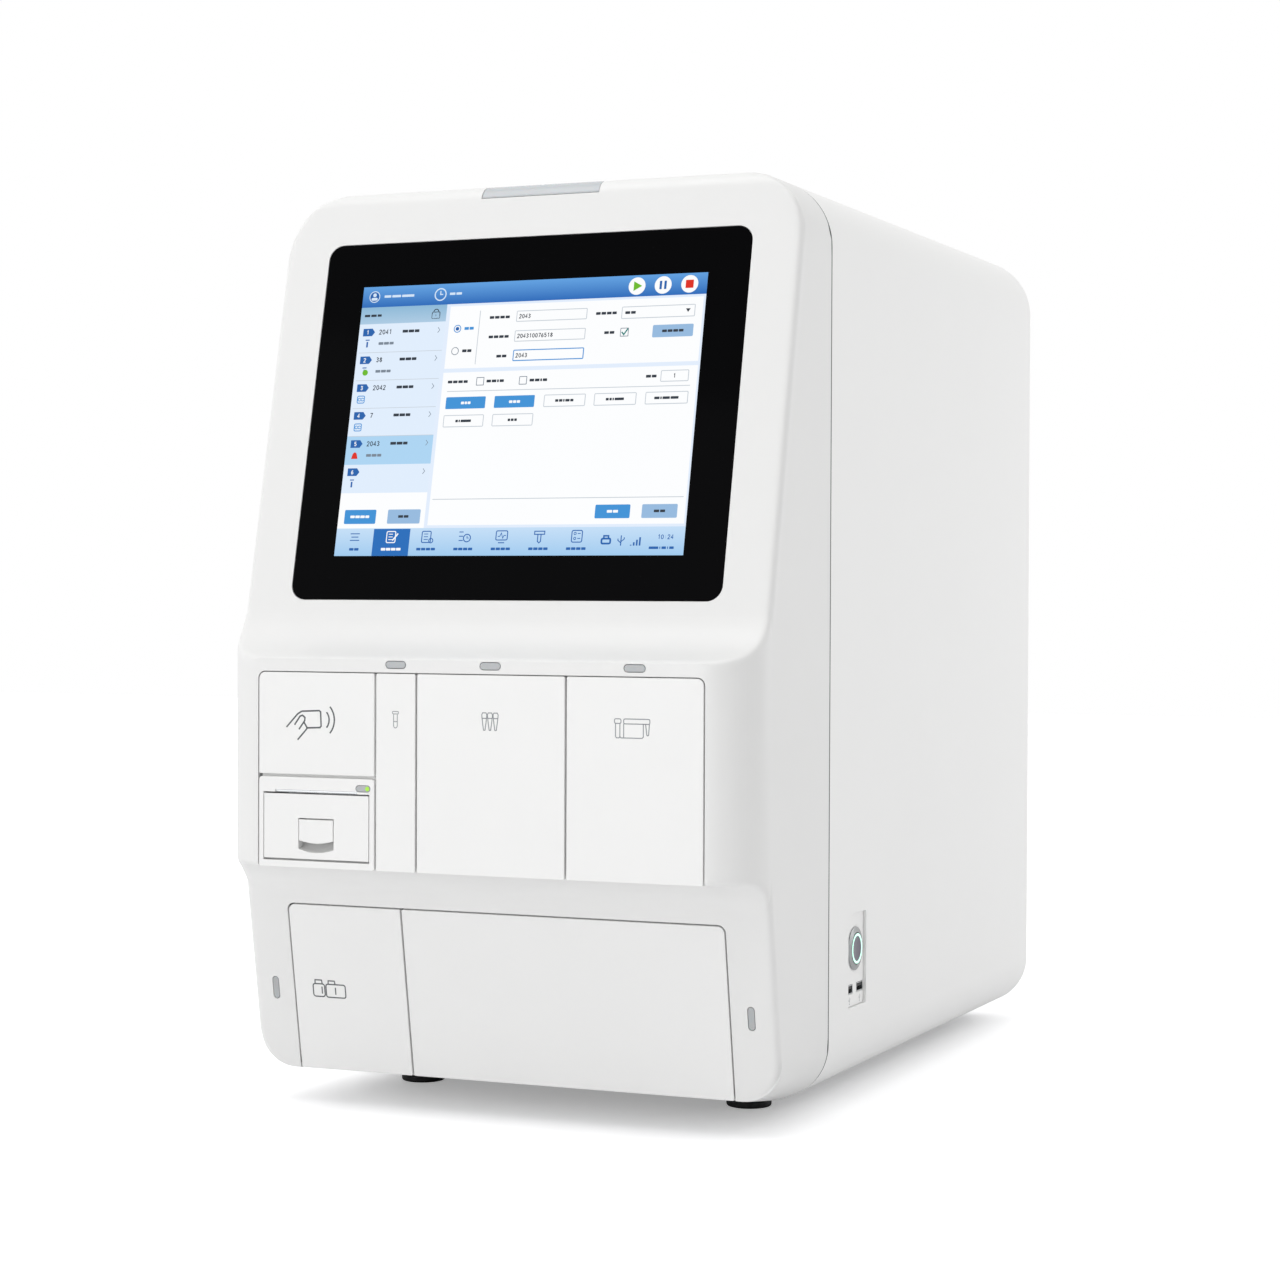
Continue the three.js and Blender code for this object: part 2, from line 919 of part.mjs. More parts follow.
function cardReaderModule() {
  const middleX = (moduleLeft + moduleRight) / 2;
  const middleZ = (rise(cardReader.bottomRise) + frontTop) / 2;
  const face = alongY(
    rectangle(
      moduleLeft,
      moduleRight,
      rise(cardReader.bottomRise),
      frontTop,
      printer.cornerRadius,
      printer.cornerRadius,
      front.topRadius - front.edgeGap,
    ),
    frontY,
    back(cardReader.thickness),
  );
  const boardHalfWidth = front.moduleWidth / 2 - cardReader.boardSideInset;
  const boardHalfHeight = frontTop - middleZ - cardReader.boardEndInset;
  const bosses = [-1, 1].flatMap((side) =>
    [-1, 1].map((end) => {
      const x = middleX + side * (boardHalfWidth - cardReader.bossInset);
      const z = middleZ + end * (boardHalfHeight - cardReader.bossInset);
      return alongY(
        circle(x, z, cardReader.bossRadius, cardReader.bossSides),
        back(cardReader.thickness / 2),
        back(cardReader.thickness + cardReader.bossLength),
      );
    }),
  );
  add('card_reader_panel', join([face, ...bosses]), drawerPlastic);
  const boardFront = back(cardReader.thickness + cardReader.bossLength + seatGap);
  add(
    'card_reader_board',
    block(
      middleX - boardHalfWidth,
      middleX + boardHalfWidth,
      boardFront,
      boardFront + cardReader.boardThickness,
      middleZ - boardHalfHeight,
      middleZ + boardHalfHeight,
    ),
    circuitBoard,
  );
}

const lidLeft = moduleLeft + printer.lidLeft;
const lidRight = lidLeft + printer.lidWidth;
const lidMiddle = (lidLeft + lidRight) / 2;
const notchLeft = lidLeft + notch.left;
const notchRight = notchLeft + notch.width;
const lidInner = back(printer.lidThickness);
const buttonRight = moduleRight - feedButton.right;
const buttonLeft = buttonRight - feedButton.width;
const bayInnerTop = rise(printer.bayTopRise) - printer.bayWall;
const bayInnerFloor = rise(printer.bayBottomRise) + printer.bayWall;
const bayLeft = moduleLeft + printer.baySideInset;
const bayRight = lidRight + (lidLeft - bayLeft);

function feedOutline(grow) {
  return pill(
    (buttonLeft + buttonRight) / 2,
    rise(feedButton.bottomRise) + feedButton.height / 2,
    feedButton.width,
    feedButton.height,
    grow,
  );
}

function printerBezel() {
  const faceLow = rise(front.bottomRise);
  const face = rectangle(moduleLeft, moduleRight, faceLow, rise(printer.topRise), printer.cornerRadius);
  const openingTop = rise(printer.lidTopRise) + printer.lidTopGap;
  const opening = rectangle(
    lidLeft - printer.lidSideGap,
    lidRight + printer.lidSideGap,
    rise(printer.lidBottomRise) - printer.lidBottomGap,
    openingTop,
  );
  const slotLeft = lidMiddle - printer.slotWidth / 2;
  const slotTop = openingTop + printer.slotHeight;
  const slot = rectangle(slotLeft, slotLeft + printer.slotWidth, rise(printer.lidTopRise), slotTop);
  const through = (points) => alongY(points, frontY - overrun, back(printer.bezelThickness + overrun));
  const plate = alongY(face, frontY, back(printer.bezelThickness));
  const slotAndButton = [through(opening), through(slot), through(feedOutline(feedButton.clearance))];
  add('printer_bezel', plate.subtract(join(slotAndButton)), drawerPlastic);
  add('feed_button', alongY(feedOutline(0), frontY, back(printer.bezelThickness - seatGap)), litPlastic);
}

function printerBay() {
  const bayFront = back(printer.bezelThickness + seatGap);
  const bayBack = back(printer.bayDepth);
  const bayLow = rise(printer.bayBottomRise);
  const outer = block(bayLeft, bayRight, bayFront, bayBack, bayLow, rise(printer.bayTopRise));
  const inner = block(
    bayLeft + printer.bayWall,
    bayRight - printer.bayWall,
    bayFront - overrun,
    bayBack - printer.bayWall,
    bayInnerFloor,
    bayInnerTop,
  );
  add('printer_frame', outer.subtract(inner), darkPlastic);
  const headFront = back(platen.depth + platen.radius + seatGap);
  add(
    'print_head',
    block(
      lidMiddle - printHead.length / 2,
      lidMiddle + printHead.length / 2,
      headFront,
      headFront + printHead.thickness,
      rise(printHead.bottomRise),
      bayInnerTop - seatGap,
    ),
    brightMetal,
  );
  add(
    'paper_roll',
    turned('x', [lidMiddle, back(roll.depth), bayInnerFloor + seatGap + roll.radius], wideSides, [
      [roll.coreRadius, -roll.length / 2],
      [roll.radius, -roll.length / 2],
      [roll.radius, roll.length / 2],
      [roll.coreRadius, roll.length / 2],
      [roll.coreRadius, -roll.length / 2],
    ]),
    paperWhite,
  );
}

function printerLid() {
  const lidLow = rise(printer.lidBottomRise);
  const plate = block(lidLeft, lidRight, frontY, lidInner, lidLow, rise(printer.lidTopRise));
  const cup = block(
    notchLeft - notch.wall,
    notchRight + notch.wall,
    back(printer.lidThickness / 2),
    back(notch.depth + notch.wall),
    rise(notch.bottomRise) - notch.wall,
    rise(notch.topRise) + notch.wall,
  );
  const hollow = block(
    notchLeft,
    notchRight,
    frontY - overrun,
    back(notch.depth),
    rise(notch.bottomRise),
    rise(notch.topRise),
  );
  const armInner = platen.length / 2 + platen.armGap;
  const arms = [-1, 1].map((side) => {
    const a = lidMiddle + side * armInner;
    const b = a + side * platen.armThickness;
    return block(
      Math.min(a, b),
      Math.max(a, b),
      back(printer.lidThickness / 2),
      back(platen.depth + platen.armBehind),
      rise(platen.rise) - platen.armBelow,
      rise(platen.rise) + platen.armAbove,
    );
  });
  const bore = rod(
    'x',
    [lidMiddle, back(platen.depth), rise(platen.rise)],
    platen.axleRadius + platen.boreClearance,
    -platen.length,
    platen.length,
    smallSides,
  );
  add('printer_lid', join([plate, cup, ...arms]).subtract(hollow).subtract(bore), drawerPlastic);
  const half = platen.length / 2;
  add(
    'platen_roller',
    turned('x', [lidMiddle, back(platen.depth), rise(platen.rise)], smallSides, [
      [0, -half - platen.axleLength],
      [platen.axleRadius, -half - platen.axleLength],
      [platen.axleRadius, -half],
      [platen.radius, -half],
      [platen.radius, half],
      [platen.axleRadius, half],
      [platen.axleRadius, half + platen.axleLength],
      [0, half + platen.axleLength],
    ]),
    blackRubber,
  );
}

const latchTop = rise(notch.topRise) - latch.topGap;

function printerLatch() {
  const left = notchLeft + latch.clearance;
  const right = notchRight - latch.clearance;
  const paddle = block(left, right, frontY, back(latch.thickness), rise(latch.bottomRise), latchTop);
  const barrel = rod(
    'x',
    [(left + right) / 2, back(latch.pivotDepth), latchTop - latch.barrelRadius],
    latch.barrelRadius,
    -(right - left) / 2,
    (right - left) / 2,
    smallSides,
  );
  add('printer_latch', paddle.add(barrel), drawerPlastic);
}

// Upper drawers

function drawerFront(name, left, right, topRight = front.cornerRadius) {
  const shape = rectangle(
    left,
    right,
    rise(front.bottomRise),
    frontTop,
    front.cornerRadius,
    topRight,
    front.cornerRadius,
  );
  add(name, alongY(shape, frontY, back(front.thickness)), drawerPlastic);
}

function sampleDrawer() {
  drawerFront('sample_drawer_front', sampleLeft, sampleRight);
  const middle = (sampleLeft + sampleRight) / 2;
  const firstPlace = trayFront + sampleRack.firstPlace;
  const places = Array.from({ length: sampleRack.places }, (_, i) => firstPlace + i * sampleRack.pitch);
  const bar = block(
    sampleLeft + tray.sideInset,
    sampleRight - tray.sideInset,
    trayFront,
    trayFront + sampleRack.length,
    trayFloor,
    rise(sampleRack.topRise),
  );
  const boreTop = rise(sampleRack.topRise) + overrun;
  const bores = places.map((y) =>
    rod('z', [middle, y, 0], sampleRack.boreRadius, rise(sampleRack.boreFloorRise), boreTop, smallSides),
  );
  add('sample_drawer_rack', bar.subtract(join(bores)), trayPlastic);
  for (let i = 0; i < tube.count; i += 1) {
    const bottom = rise(sampleRack.boreFloorRise) + seatGap;
    const capFrom = bottom + tube.length - tube.capLength;
    add(
      `sample_tube_${i + 1}`,
      turned('z', [middle, places[i], bottom], smallSides, [
        [0, 0],
        [tube.radius / 2, tube.radius / 6],
        [tube.radius, tube.radius],
        [tube.radius, capFrom - bottom],
        [tube.capRadius, capFrom - bottom],
        [tube.capRadius, tube.length],
        [0, tube.length],
      ]),
      tubePlastic,
    );
  }
}

function openTray(left, right, y0, y1, z0, z1) {
  const outer = block(left, right, y0, y1, z0, z1);
  const wall = tray.wall;
  const inner = block(left + wall, right - wall, y0 + wall, y1 - wall, z0 + wall, z1 + overrun);
  return outer.subtract(inner);
}

function tipDrawer() {
  drawerFront('tip_drawer_front', tipLeft, tipRight);
  const left = tipLeft + tray.sideInset;
  const right = tipRight - tray.sideInset;
  const trayBack = trayFront + tipTray.length;
  const trayBody = openTray(left, right, trayFront, trayBack, trayFloor, rise(tipTray.topRise));
  add('tip_drawer_tray', trayBody, trayPlastic);
  const inset = tray.wall + seatGap;
  const x0 = left + inset;
  const x1 = right - inset;
  const y0 = trayFront + inset;
  const y1 = trayBack - inset;
  const base = trayFloor + inset;
  const box = block(x0, x1, y0, y1, base, rise(tipRack.topRise));
  const columns = Math.round((x1 - x0) / tipRack.columnPitch);
  const rows = Math.round((y1 - y0) / tipRack.rowPitch);
  const pitchX = (x1 - x0) / columns;
  const pitchY = (y1 - y0) / rows;
  const rims = [];
  for (let i = 0; i < columns; i += 1) {
    for (let j = 0; j < rows; j += 1) {
      rims.push(
        rod(
          'z',
          [x0 + (i + 0.5) * pitchX, y0 + (j + 0.5) * pitchY, rise(tipRack.topRise)],
          tipRack.rimRadius,
          -tipRack.rimHeight,
          tipRack.rimHeight,
          tipRack.rimSides,
        ),
      );
    }
  }
  add('tip_rack', join([box, ...rims]), darkPlastic);
}

function reagentDrawer() {
  drawerFront('reagent_drawer_front', reagentLeft, reagentRight, front.topRadius - front.edgeGap);
  const left = reagentLeft + tray.sideInset;
  const right = reagentRight - tray.sideInset;
  const lanePitch = reagentTray.laneWidth + reagentTray.leastRib;
  const laneCount = Math.floor((right - left - reagentTray.leastRib) / lanePitch);
  const rib = (right - left - laneCount * reagentTray.laneWidth) / (laneCount + 1);
  const trayBack = trayFront + reagentTray.length;
  const laneLeft = (i) => left + rib + i * (reagentTray.laneWidth + rib);
  const laneFront = trayFront + reagentTray.endWall;
  const laneBack = trayBack - reagentTray.endWall;
  const bar = block(left, right, trayFront, trayBack, trayFloor, rise(reagentTray.topRise));
  const lanes = Array.from({ length: laneCount }, (_, i) =>
    block(
      laneLeft(i),
      laneLeft(i) + reagentTray.laneWidth,
      laneFront,
      laneBack,
      rise(reagentTray.laneFloorRise),
      rise(reagentTray.topRise) + overrun,
    ),
  );
  add('reagent_drawer_tray', bar.subtract(join(lanes)), trayPlastic);
  for (let i = 0; i < strip.count; i += 1) {
    const middle = laneLeft(i) + reagentTray.laneWidth / 2;
    const stem = block(
      middle - strip.bodyWidth / 2,
      middle + strip.bodyWidth / 2,
      laneFront + seatGap,
      laneBack - strip.tabLength,
      rise(reagentTray.laneFloorRise) + seatGap,
      rise(strip.topRise),
    );
    const flange = block(
      middle - strip.flangeWidth / 2,
      middle + strip.flangeWidth / 2,
      laneFront + seatGap,
      laneBack - seatGap,
      rise(strip.topRise) - strip.flangeThickness,
      rise(strip.topRise),
    );
    add(`reagent_strip_${i + 1}`, stem.add(flange), bottlePlastic);
  }
}

// Lower drawers

function lowerPanel(name, left, right, topRight, topLeft) {
  const low = upLower(lowerFrontBottom);
  const shape = rectangle(left, right, low, upLower(lowerFrontTop), front.cornerRadius, topRight, topLeft);
  add(name, onFace(lowerFace, shape, -front.thickness, 0), drawerPlastic);
}

const lowerTrayFront = (z) => lowerY(z) + (front.thickness + seatGap) / Math.cos(profile.lowerTilt);
const lowerTrayBack = (length) => lowerTrayFront(lowerTrayFloor) + length;

// Open tray whose front wall leans with the drawer's face.
function leaningTray(left, right, length, top) {
  const section = (grow, floor, rim) => [
    [lowerTrayFront(floor) + grow, floor],
    [lowerTrayBack(length) - grow, floor],
    [lowerTrayBack(length) - grow, rim],
    [lowerTrayFront(rim) + grow, rim],
  ];
  const outer = alongX(section(0, lowerTrayFloor, top), left, right);
  const inside = section(tray.wall, lowerTrayFloor + tray.wall, top + overrun);
  const inner = alongX(inside, left + tray.wall, right - tray.wall);
  return outer.subtract(inner);
}

function bottleDrawer() {
  lowerPanel('bottle_drawer_front', bottleLeft, bottleRight, front.cornerRadius, lowerFront.outerRadius);
  const left = bottleLeft + tray.sideInset;
  const right = bottleRight - tray.sideInset;
  const trayBody = leaningTray(left, right, bottleTray.length, level(bottleTray.topLevel));
  add('bottle_drawer_tray', trayBody, trayPlastic);
  const y0 = lowerTrayFront(lowerTrayFloor) + tray.wall + seatGap;
  const y1 = lowerTrayBack(bottleTray.length) - tray.wall - seatGap;
  const length = (y1 - y0 - bottle.gap) / 2;
  const middle = (left + right) / 2;
  const floor = lowerTrayFloor + tray.wall + seatGap;
  const names = ['liquid_waste_bottle', 'wash_bottle'];
  names.forEach((name, i) => {
    const start = y0 + i * (length + bottle.gap);
    const halfBottle = (right - left) / 2 - tray.wall - bottle.sideGap;
    const end = start + length;
    const plan = rectangle(middle - halfBottle, middle + halfBottle, start, end, bottle.edgeRadius);
    const shoulder = floor + bottle.bodyHeight;
    const capFrom = bottle.neckHeight;
    const neck = turned('z', [middle, start + length / 2, shoulder], bottle.capSides, [
      [0, -overrun],
      [bottle.neckRadius, -overrun],
      [bottle.neckRadius, capFrom],
      [bottle.capRadius, capFrom],
      [bottle.capRadius, capFrom + bottle.capHeight],
      [0, capFrom + bottle.capHeight],
    ]);
    add(name, alongZ(plan, floor, shoulder).add(neck), bottlePlastic);
  });
}

function wasteDrawer() {
  lowerPanel('waste_drawer_front', wasteLeft, wasteRight, lowerFront.outerRadius, front.cornerRadius);
  const left = wasteLeft + tray.sideInset;
  const right = wasteRight - tray.sideInset;
  const trayBody = leaningTray(left, right, wasteTray.length, level(wasteTray.topLevel));
  add('waste_drawer_tray', trayBody, trayPlastic);
  const inset = tray.wall + seatGap;
  const x0 = left + inset;
  const x1 = right - inset;
  const y0 = lowerTrayFront(lowerTrayFloor) + inset;
  const y1 = lowerTrayBack(wasteTray.length) - inset;
  const floor = lowerTrayFloor + inset;
  const binTop = bandBottom - wasteBin.bandGap;
  const outer = alongZ(rectangle(x0, x1, y0, y1, wasteBin.cornerRadius), floor, binTop);
  const inner = alongZ(
    rectangle(
      x0 + wasteBin.wall,
      x1 - wasteBin.wall,
      y0 + wasteBin.wall,
      y1 - wasteBin.wall,
      wasteBin.cornerRadius - wasteBin.wall,
    ),
    floor + wasteBin.wall,
    binTop + overrun,
  );
  add('waste_bin', outer.subtract(inner), darkPlastic);
}

// Chassis

const deckHalf = halfWidth - chassis.sideInset;
const floorLow = bottomZ + body.wall + seatGap;

const deckLow = deckTop - deck.thickness;
const sideFront = back(chassis.frontDepth);
const floorHalf = halfWidth - chassis.floorSideInset;
const stepLow = floorLow + chassis.joggle;

// Side walls and back wall, with the towers that carry the gantry and the flanges beside the floor.
function chassisFrame() {
  const sheet = chassis.sheet;
  const outer = deckHalf + sheet;
  const towerFront = behindDrawers(gantry.placeShare) - chassis.beamLead;
  const towerTop = rise(chassis.towerRise);
  const pieces = [block(-outer, outer, deckBack - sheet, deckBack, stepLow, towerTop)];
  for (const side of [-1, 1]) {
    const wallSpan = [side * deckHalf, side * outer].sort((a, b) => a - b);
    const stepSpan = [side * (floorHalf + seatGap), side * outer].sort((a, b) => a - b);
    pieces.push(block(...stepSpan, sideFront, deckBack, stepLow, stepLow + sheet));
    pieces.push(block(...wallSpan, sideFront, deckBack, stepLow, deckTop));
    pieces.push(block(...wallSpan, towerFront, deckBack, stepLow, towerTop));
  }
  add('chassis_frame', join(pieces), sheetMetal);
}

function chassisDeck() {
  const deckEdge = deckHalf - seatGap;
  const deckEnd = deckBack - chassis.sheet - seatGap;
  const pieces = [
    block(moduleRight, windowHalf, back(deck.frontDepth), deckEnd, deckLow, deckTop),
    block(-windowHalf, windowHalf, back(deck.moduleDepth), deckEnd, deckLow, deckTop),
    block(-deckEdge, deckEdge, sideFront, deckEnd, deckLow, deckTop),
  ];
  const guides = [(moduleRight + sampleLeft) / 2, (sampleRight + tipLeft) / 2, (tipRight + reagentLeft) / 2];
  for (const x of guides) {
    pieces.push(
      block(
        x - deck.guideThickness / 2,
        x + deck.guideThickness / 2,
        back(deck.frontDepth),
        guideBack,
        deckLow,
        deckTop + deck.guideHeight,
      ),
    );
  }
  add('chassis_deck', join(pieces), sheetMetal);
}

// Floor pan with the lower drawers' runners and the divider between them.
function chassisFloor() {
  const sheet = chassis.sheet;
  const floorFront = back(chassis.floorFrontDepth);
  const dividerBack = back(chassis.dividerBackDepth);
  const dividerX = (bottleRight + wasteLeft) / 2;
  const floorEnd = deckBack - sheet - seatGap;
  const pieces = [
    block(-floorHalf, floorHalf, floorFront, floorEnd, floorLow, floorLow + sheet),
    block(dividerX - sheet / 2, dividerX + sheet / 2, sideFront, dividerBack, floorLow, deckLow - seatGap),
  ];
  const runnerTop = lowerTrayFloor - drawerBottomGap;
  const runnerSpans = [
    [bottleLeft + tray.sideInset, bottleRight - tray.sideInset],
    [wasteLeft + tray.sideInset, wasteRight - tray.sideInset],
  ];
  for (const [left, right] of runnerSpans) {
    const first = Math.max(left + chassis.runnerInset, -floorHalf);
    const last = Math.min(right - chassis.runnerInset, floorHalf);
    for (const x of [first, last - chassis.runnerWidth]) {
      pieces.push(block(x, x + chassis.runnerWidth, floorFront, dividerBack, floorLow, runnerTop));
    }
  }
  add('chassis_floor', join(pieces), sheetMetal);
}

// Power button and sockets on the right-hand side

function portPlate() {
  const innerFace = halfWidth - body.wall - seatGap;
  const flange = alongX(portOutline(port.border), innerFace - port.thickness, innerFace);
  const raised = alongX(portOutline(-port.clearance), innerFace - port.thickness, halfWidth - port.recess);
  const buttonHole = alongX(
    circle(portY, level(powerButton.level), powerButton.barrelRadius + seatGap, wideSides),
    innerFace - port.thickness - overrun,
    halfWidth,
  );
  const sockets = [-1, 1].map((side) => {
    const y = portY + (side * usb.spread) / 2;
    return alongX(
      rectangle(
        y - usb.width / 2 - seatGap,
        y + usb.width / 2 + seatGap,
        level(usb.level) - usb.tall / 2 - seatGap,
        level(usb.level) + usb.tall / 2 + seatGap,
      ),
      innerFace - port.thickness - overrun,
      halfWidth,
    );
  });
  add('port_plate', flange.add(raised).subtract(join([buttonHole, ...sockets])), coverPlastic);
  const faceX = halfWidth - port.recess;
  const centre = [0, portY, level(powerButton.level)];
  const buttonInner = halfWidth - powerButton.bodyLength;
  add(
    'power_button_bezel',
    turned('x', centre, wideSides, [
      [powerButton.bezelInner, faceX - powerButton.barrelLength],
      [powerButton.barrelRadius, faceX - powerButton.barrelLength],
      [powerButton.barrelRadius, faceX + seatGap],
      [powerButton.bezelRadius, faceX + seatGap],
      [powerButton.bezelRadius, halfWidth - seatGap],
      [powerButton.bezelInner, halfWidth - seatGap],
      [powerButton.bezelInner, faceX - powerButton.barrelLength],
    ]),
    brightMetal,
  );
  add(
    'power_button',
    rod('x', centre, powerButton.buttonRadius, buttonInner, halfWidth, wideSides),
    brightMetal,
  );
  const low = level(usb.level) - usb.tall / 2;
  const mouthFloor = faceX - usb.length + usb.shell;
  const spread = [-1, 1].map((side) => portY + (side * usb.spread) / 2);
  const shells = spread.map((y) =>
    alongX(rectangle(y - usb.width / 2, y + usb.width / 2, low, low + usb.tall), faceX - usb.length, faceX),
  );
  const mouths = spread.map((y) => {
    const half = usb.width / 2 - usb.shell;
    const mouth = rectangle(y - half, y + half, low + usb.shell, low + usb.tall - usb.shell);
    return alongX(mouth, mouthFloor, faceX + overrun);
  });
  const half = (usb.spread + usb.width) / 2;
  const backing = alongX(
    rectangle(portY - half, portY + half, low, low + usb.tall),
    faceX - usb.length - usb.backing,
    faceX - usb.length + usb.shell / 2,
  );
  add('usb_sockets', join([...shells, backing]).subtract(join(mouths)), brightMetal);
}

// Rear panel, fan and mains inlet

const fanX = rearHalf - fan.inset;
const fanZ = level(fan.level);
const inletX = inlet.inset - rearHalf;
const inletZ = level(inlet.level);

function rearPanel() {
  const innerY = rearY - rear.thickness;
  const cuts = [];
  for (let i = 0; i < rear.slotCount; i += 1) {
    const z = drop(rear.slotDrop) + i * rear.slotPitch;
    for (const side of [-1, 1]) {
      const x = side * (rearHalf - rear.slotInset);
      cuts.push(
        block(
          x - rear.slotLength / 2,
          x + rear.slotLength / 2,
          innerY - overrun,
          rearY + overrun,
          z - rear.slotWidth / 2,
          z + rear.slotWidth / 2,
        ),
      );
    }
  }
  const step = fan.grilleSlot + fan.grilleBar;
  for (let i = 0; i < 2 * fan.grilleRings; i += 1) {
    const z = fanZ + (i - fan.grilleRings + 0.5) * step;
    const reach = Math.sqrt(fan.boreRadius ** 2 - (z - fanZ) ** 2);
    cuts.push(alongY(pill(fanX, z, 2 * reach, fan.grilleSlot), innerY - overrun, rearY + overrun));
  }
  cuts.push(
    alongY(
      rectangle(
        inletX - inlet.bodyWidth / 2 - seatGap,
        inletX + inlet.bodyWidth / 2 + seatGap,
        inletZ - inlet.bodyHeight / 2 - seatGap,
        inletZ + inlet.bodyHeight / 2 + seatGap,
      ),
      innerY - overrun,
      rearY + overrun,
    ),
    alongY(
      rectangle(
        inletX - inlet.flangeWidth / 2 - seatGap,
        inletX + inlet.flangeWidth / 2 + seatGap,
        inletZ - inlet.flangeHeight / 2 - seatGap,
        inletZ + inlet.flangeHeight / 2 + seatGap,
      ),
      rearY - inlet.flangeThickness - seatGap,
      rearY + overrun,
    ),
  );
  add('rear_panel', alongY(rearOutline(0), innerY, rearY).subtract(join(cuts)), coverPlastic);
}

function mainsInlet() {
  const flange = block(
    inletX - inlet.flangeWidth / 2,
    inletX + inlet.flangeWidth / 2,
    rearY - inlet.flangeThickness,
    rearY,
    inletZ - inlet.flangeHeight / 2,
    inletZ + inlet.flangeHeight / 2,
  );
  const bodyBlock = block(
    inletX - inlet.bodyWidth / 2,
    inletX + inlet.bodyWidth / 2,
    rearY - inlet.bodyDepth,
    rearY,
    inletZ - inlet.bodyHeight / 2,
    inletZ + inlet.bodyHeight / 2,
  );
  const socketBack = rearY - inlet.socketDepth;
  const socket = block(
    inletX - inlet.socketWidth / 2,
    inletX + inlet.socketWidth / 2,
    socketBack,
    rearY + overrun,
    inletZ - inlet.socketHeight / 2,
    inletZ + inlet.socketHeight / 2,
  );
  const pins = [-1, 0, 1].map((place) => {
    const x = inletX + place * inlet.pinSpread;
    const z = inletZ + (place === 0 ? inlet.pinDrop : -inlet.pinDrop);
    return block(
      x - inlet.pinWidth / 2,
      x + inlet.pinWidth / 2,
      socketBack - overrun,
      socketBack + inlet.pinLength,
      z - inlet.pinHeight / 2,
      z + inlet.pinHeight / 2,
    );
  });
  add('power_inlet', join([flange, bodyBlock]).subtract(socket).add(join(pins)), darkPlastic);
}

function coolingFan() {
  const frameBack = rearY - rear.thickness - seatGap;
  const frameFront = frameBack - fan.depth;
  const half = fan.size / 2;
  const square = rectangle(fanX - half, fanX + half, fanZ - half, fanZ + half, fan.cornerRadius);
  const frame = alongY(square, frameFront, frameBack);
  const axis = [fanX, 0, fanZ];
  const bore = rod('y', axis, fan.boreRadius, frameFront - overrun, frameBack + overrun, wideSides);
  const hub = rod('y', axis, fan.hubRadius, frameFront, frameFront + fan.strutDepth, wideSides);
  const struts = [0, 1].map((turnIndex) => {
    const long = [fan.boreRadius + fan.strutDepth, fan.strutWidth / 2];
    const [a, b] = turnIndex === 0 ? long : [long[1], long[0]];
    return block(fanX - a, fanX + a, frameFront, frameFront + fan.strutDepth, fanZ - b, fanZ + b);
  });
  add('fan_housing', join([frame.subtract(bore), hub, ...struts]), darkPlastic);
  const rotorFront = frameFront + fan.strutDepth + seatGap;
  const rotorHub = rod('y', [0, 0, 0], fan.hubRadius, 0, fan.rotorDepth, wideSides);
  const blades = Array.from({ length: fan.blades }, (_, k) => {
    const length = fan.bladeReach - fan.hubRadius / 2;
    const geometry = new THREE.BoxGeometry(length, fan.bladeDepth, fan.bladeThickness);
    geometry.rotateX(fan.bladePitch);
    geometry.translate(fan.hubRadius / 2 + length / 2, fan.rotorDepth / 2, 0);
    geometry.rotateY((2 * Math.PI * k) / fan.blades);
    return solid(geometry);
  });
  const rotor = join([rotorHub, ...blades]).translate([fanX, rotorFront, fanZ]);
  add('fan_rotor', rotor, darkPlastic);
}

// Gantry, incubator, reader and electronics

function gantryParts() {
  const beamFront = behindDrawers(gantry.placeShare);
  const reach = deckHalf - seatGap;
  const beamTop = rise(gantry.rise) + gantry.beamHeight;
  const beamBack = beamFront + gantry.beamDepth;
  add('gantry_beam', block(-reach, reach, beamFront, beamBack, rise(gantry.rise), beamTop), brightMetal);
  const plateBack = beamFront - seatGap;
  const plateFront = plateBack - gantry.carriageThickness;
  const half = gantry.carriageWidth / 2;
  const plateLow = rise(gantry.rise) - gantry.carriageBelow;
  const plateHigh = beamTop + gantry.carriageAbove;
  const plate = block(-half, half, plateFront, plateBack, plateLow, plateHigh);
  const saddleLow = beamTop + seatGap;
  const saddleHigh = beamTop + gantry.carriageThickness;
  const saddle = block(-half, half, plateBack - overrun, beamBack, saddleLow, saddleHigh);
  add('pipette_carriage', plate.add(saddle), sheetMetal);
  const headBack = plateFront - seatGap;
  const headFront = headBack - gantry.headThickness;
  const headLow = plateLow - gantry.headBelow;
  const headHalf = gantry.headWidth / 2;
  const housing = block(-headHalf, headHalf, headFront, headBack, headLow, headLow + gantry.headHeight);
  const nozzle = turned('z', [0, (headFront + headBack) / 2, headLow], smallSides, [
    [0, -gantry.nozzleLength],
    [gantry.nozzleRadius / 2, -gantry.nozzleLength],
    [gantry.nozzleRadius, overrun],
    [0, overrun],
  ]);
  add('pipette_head', housing.add(nozzle), darkPlastic);
}

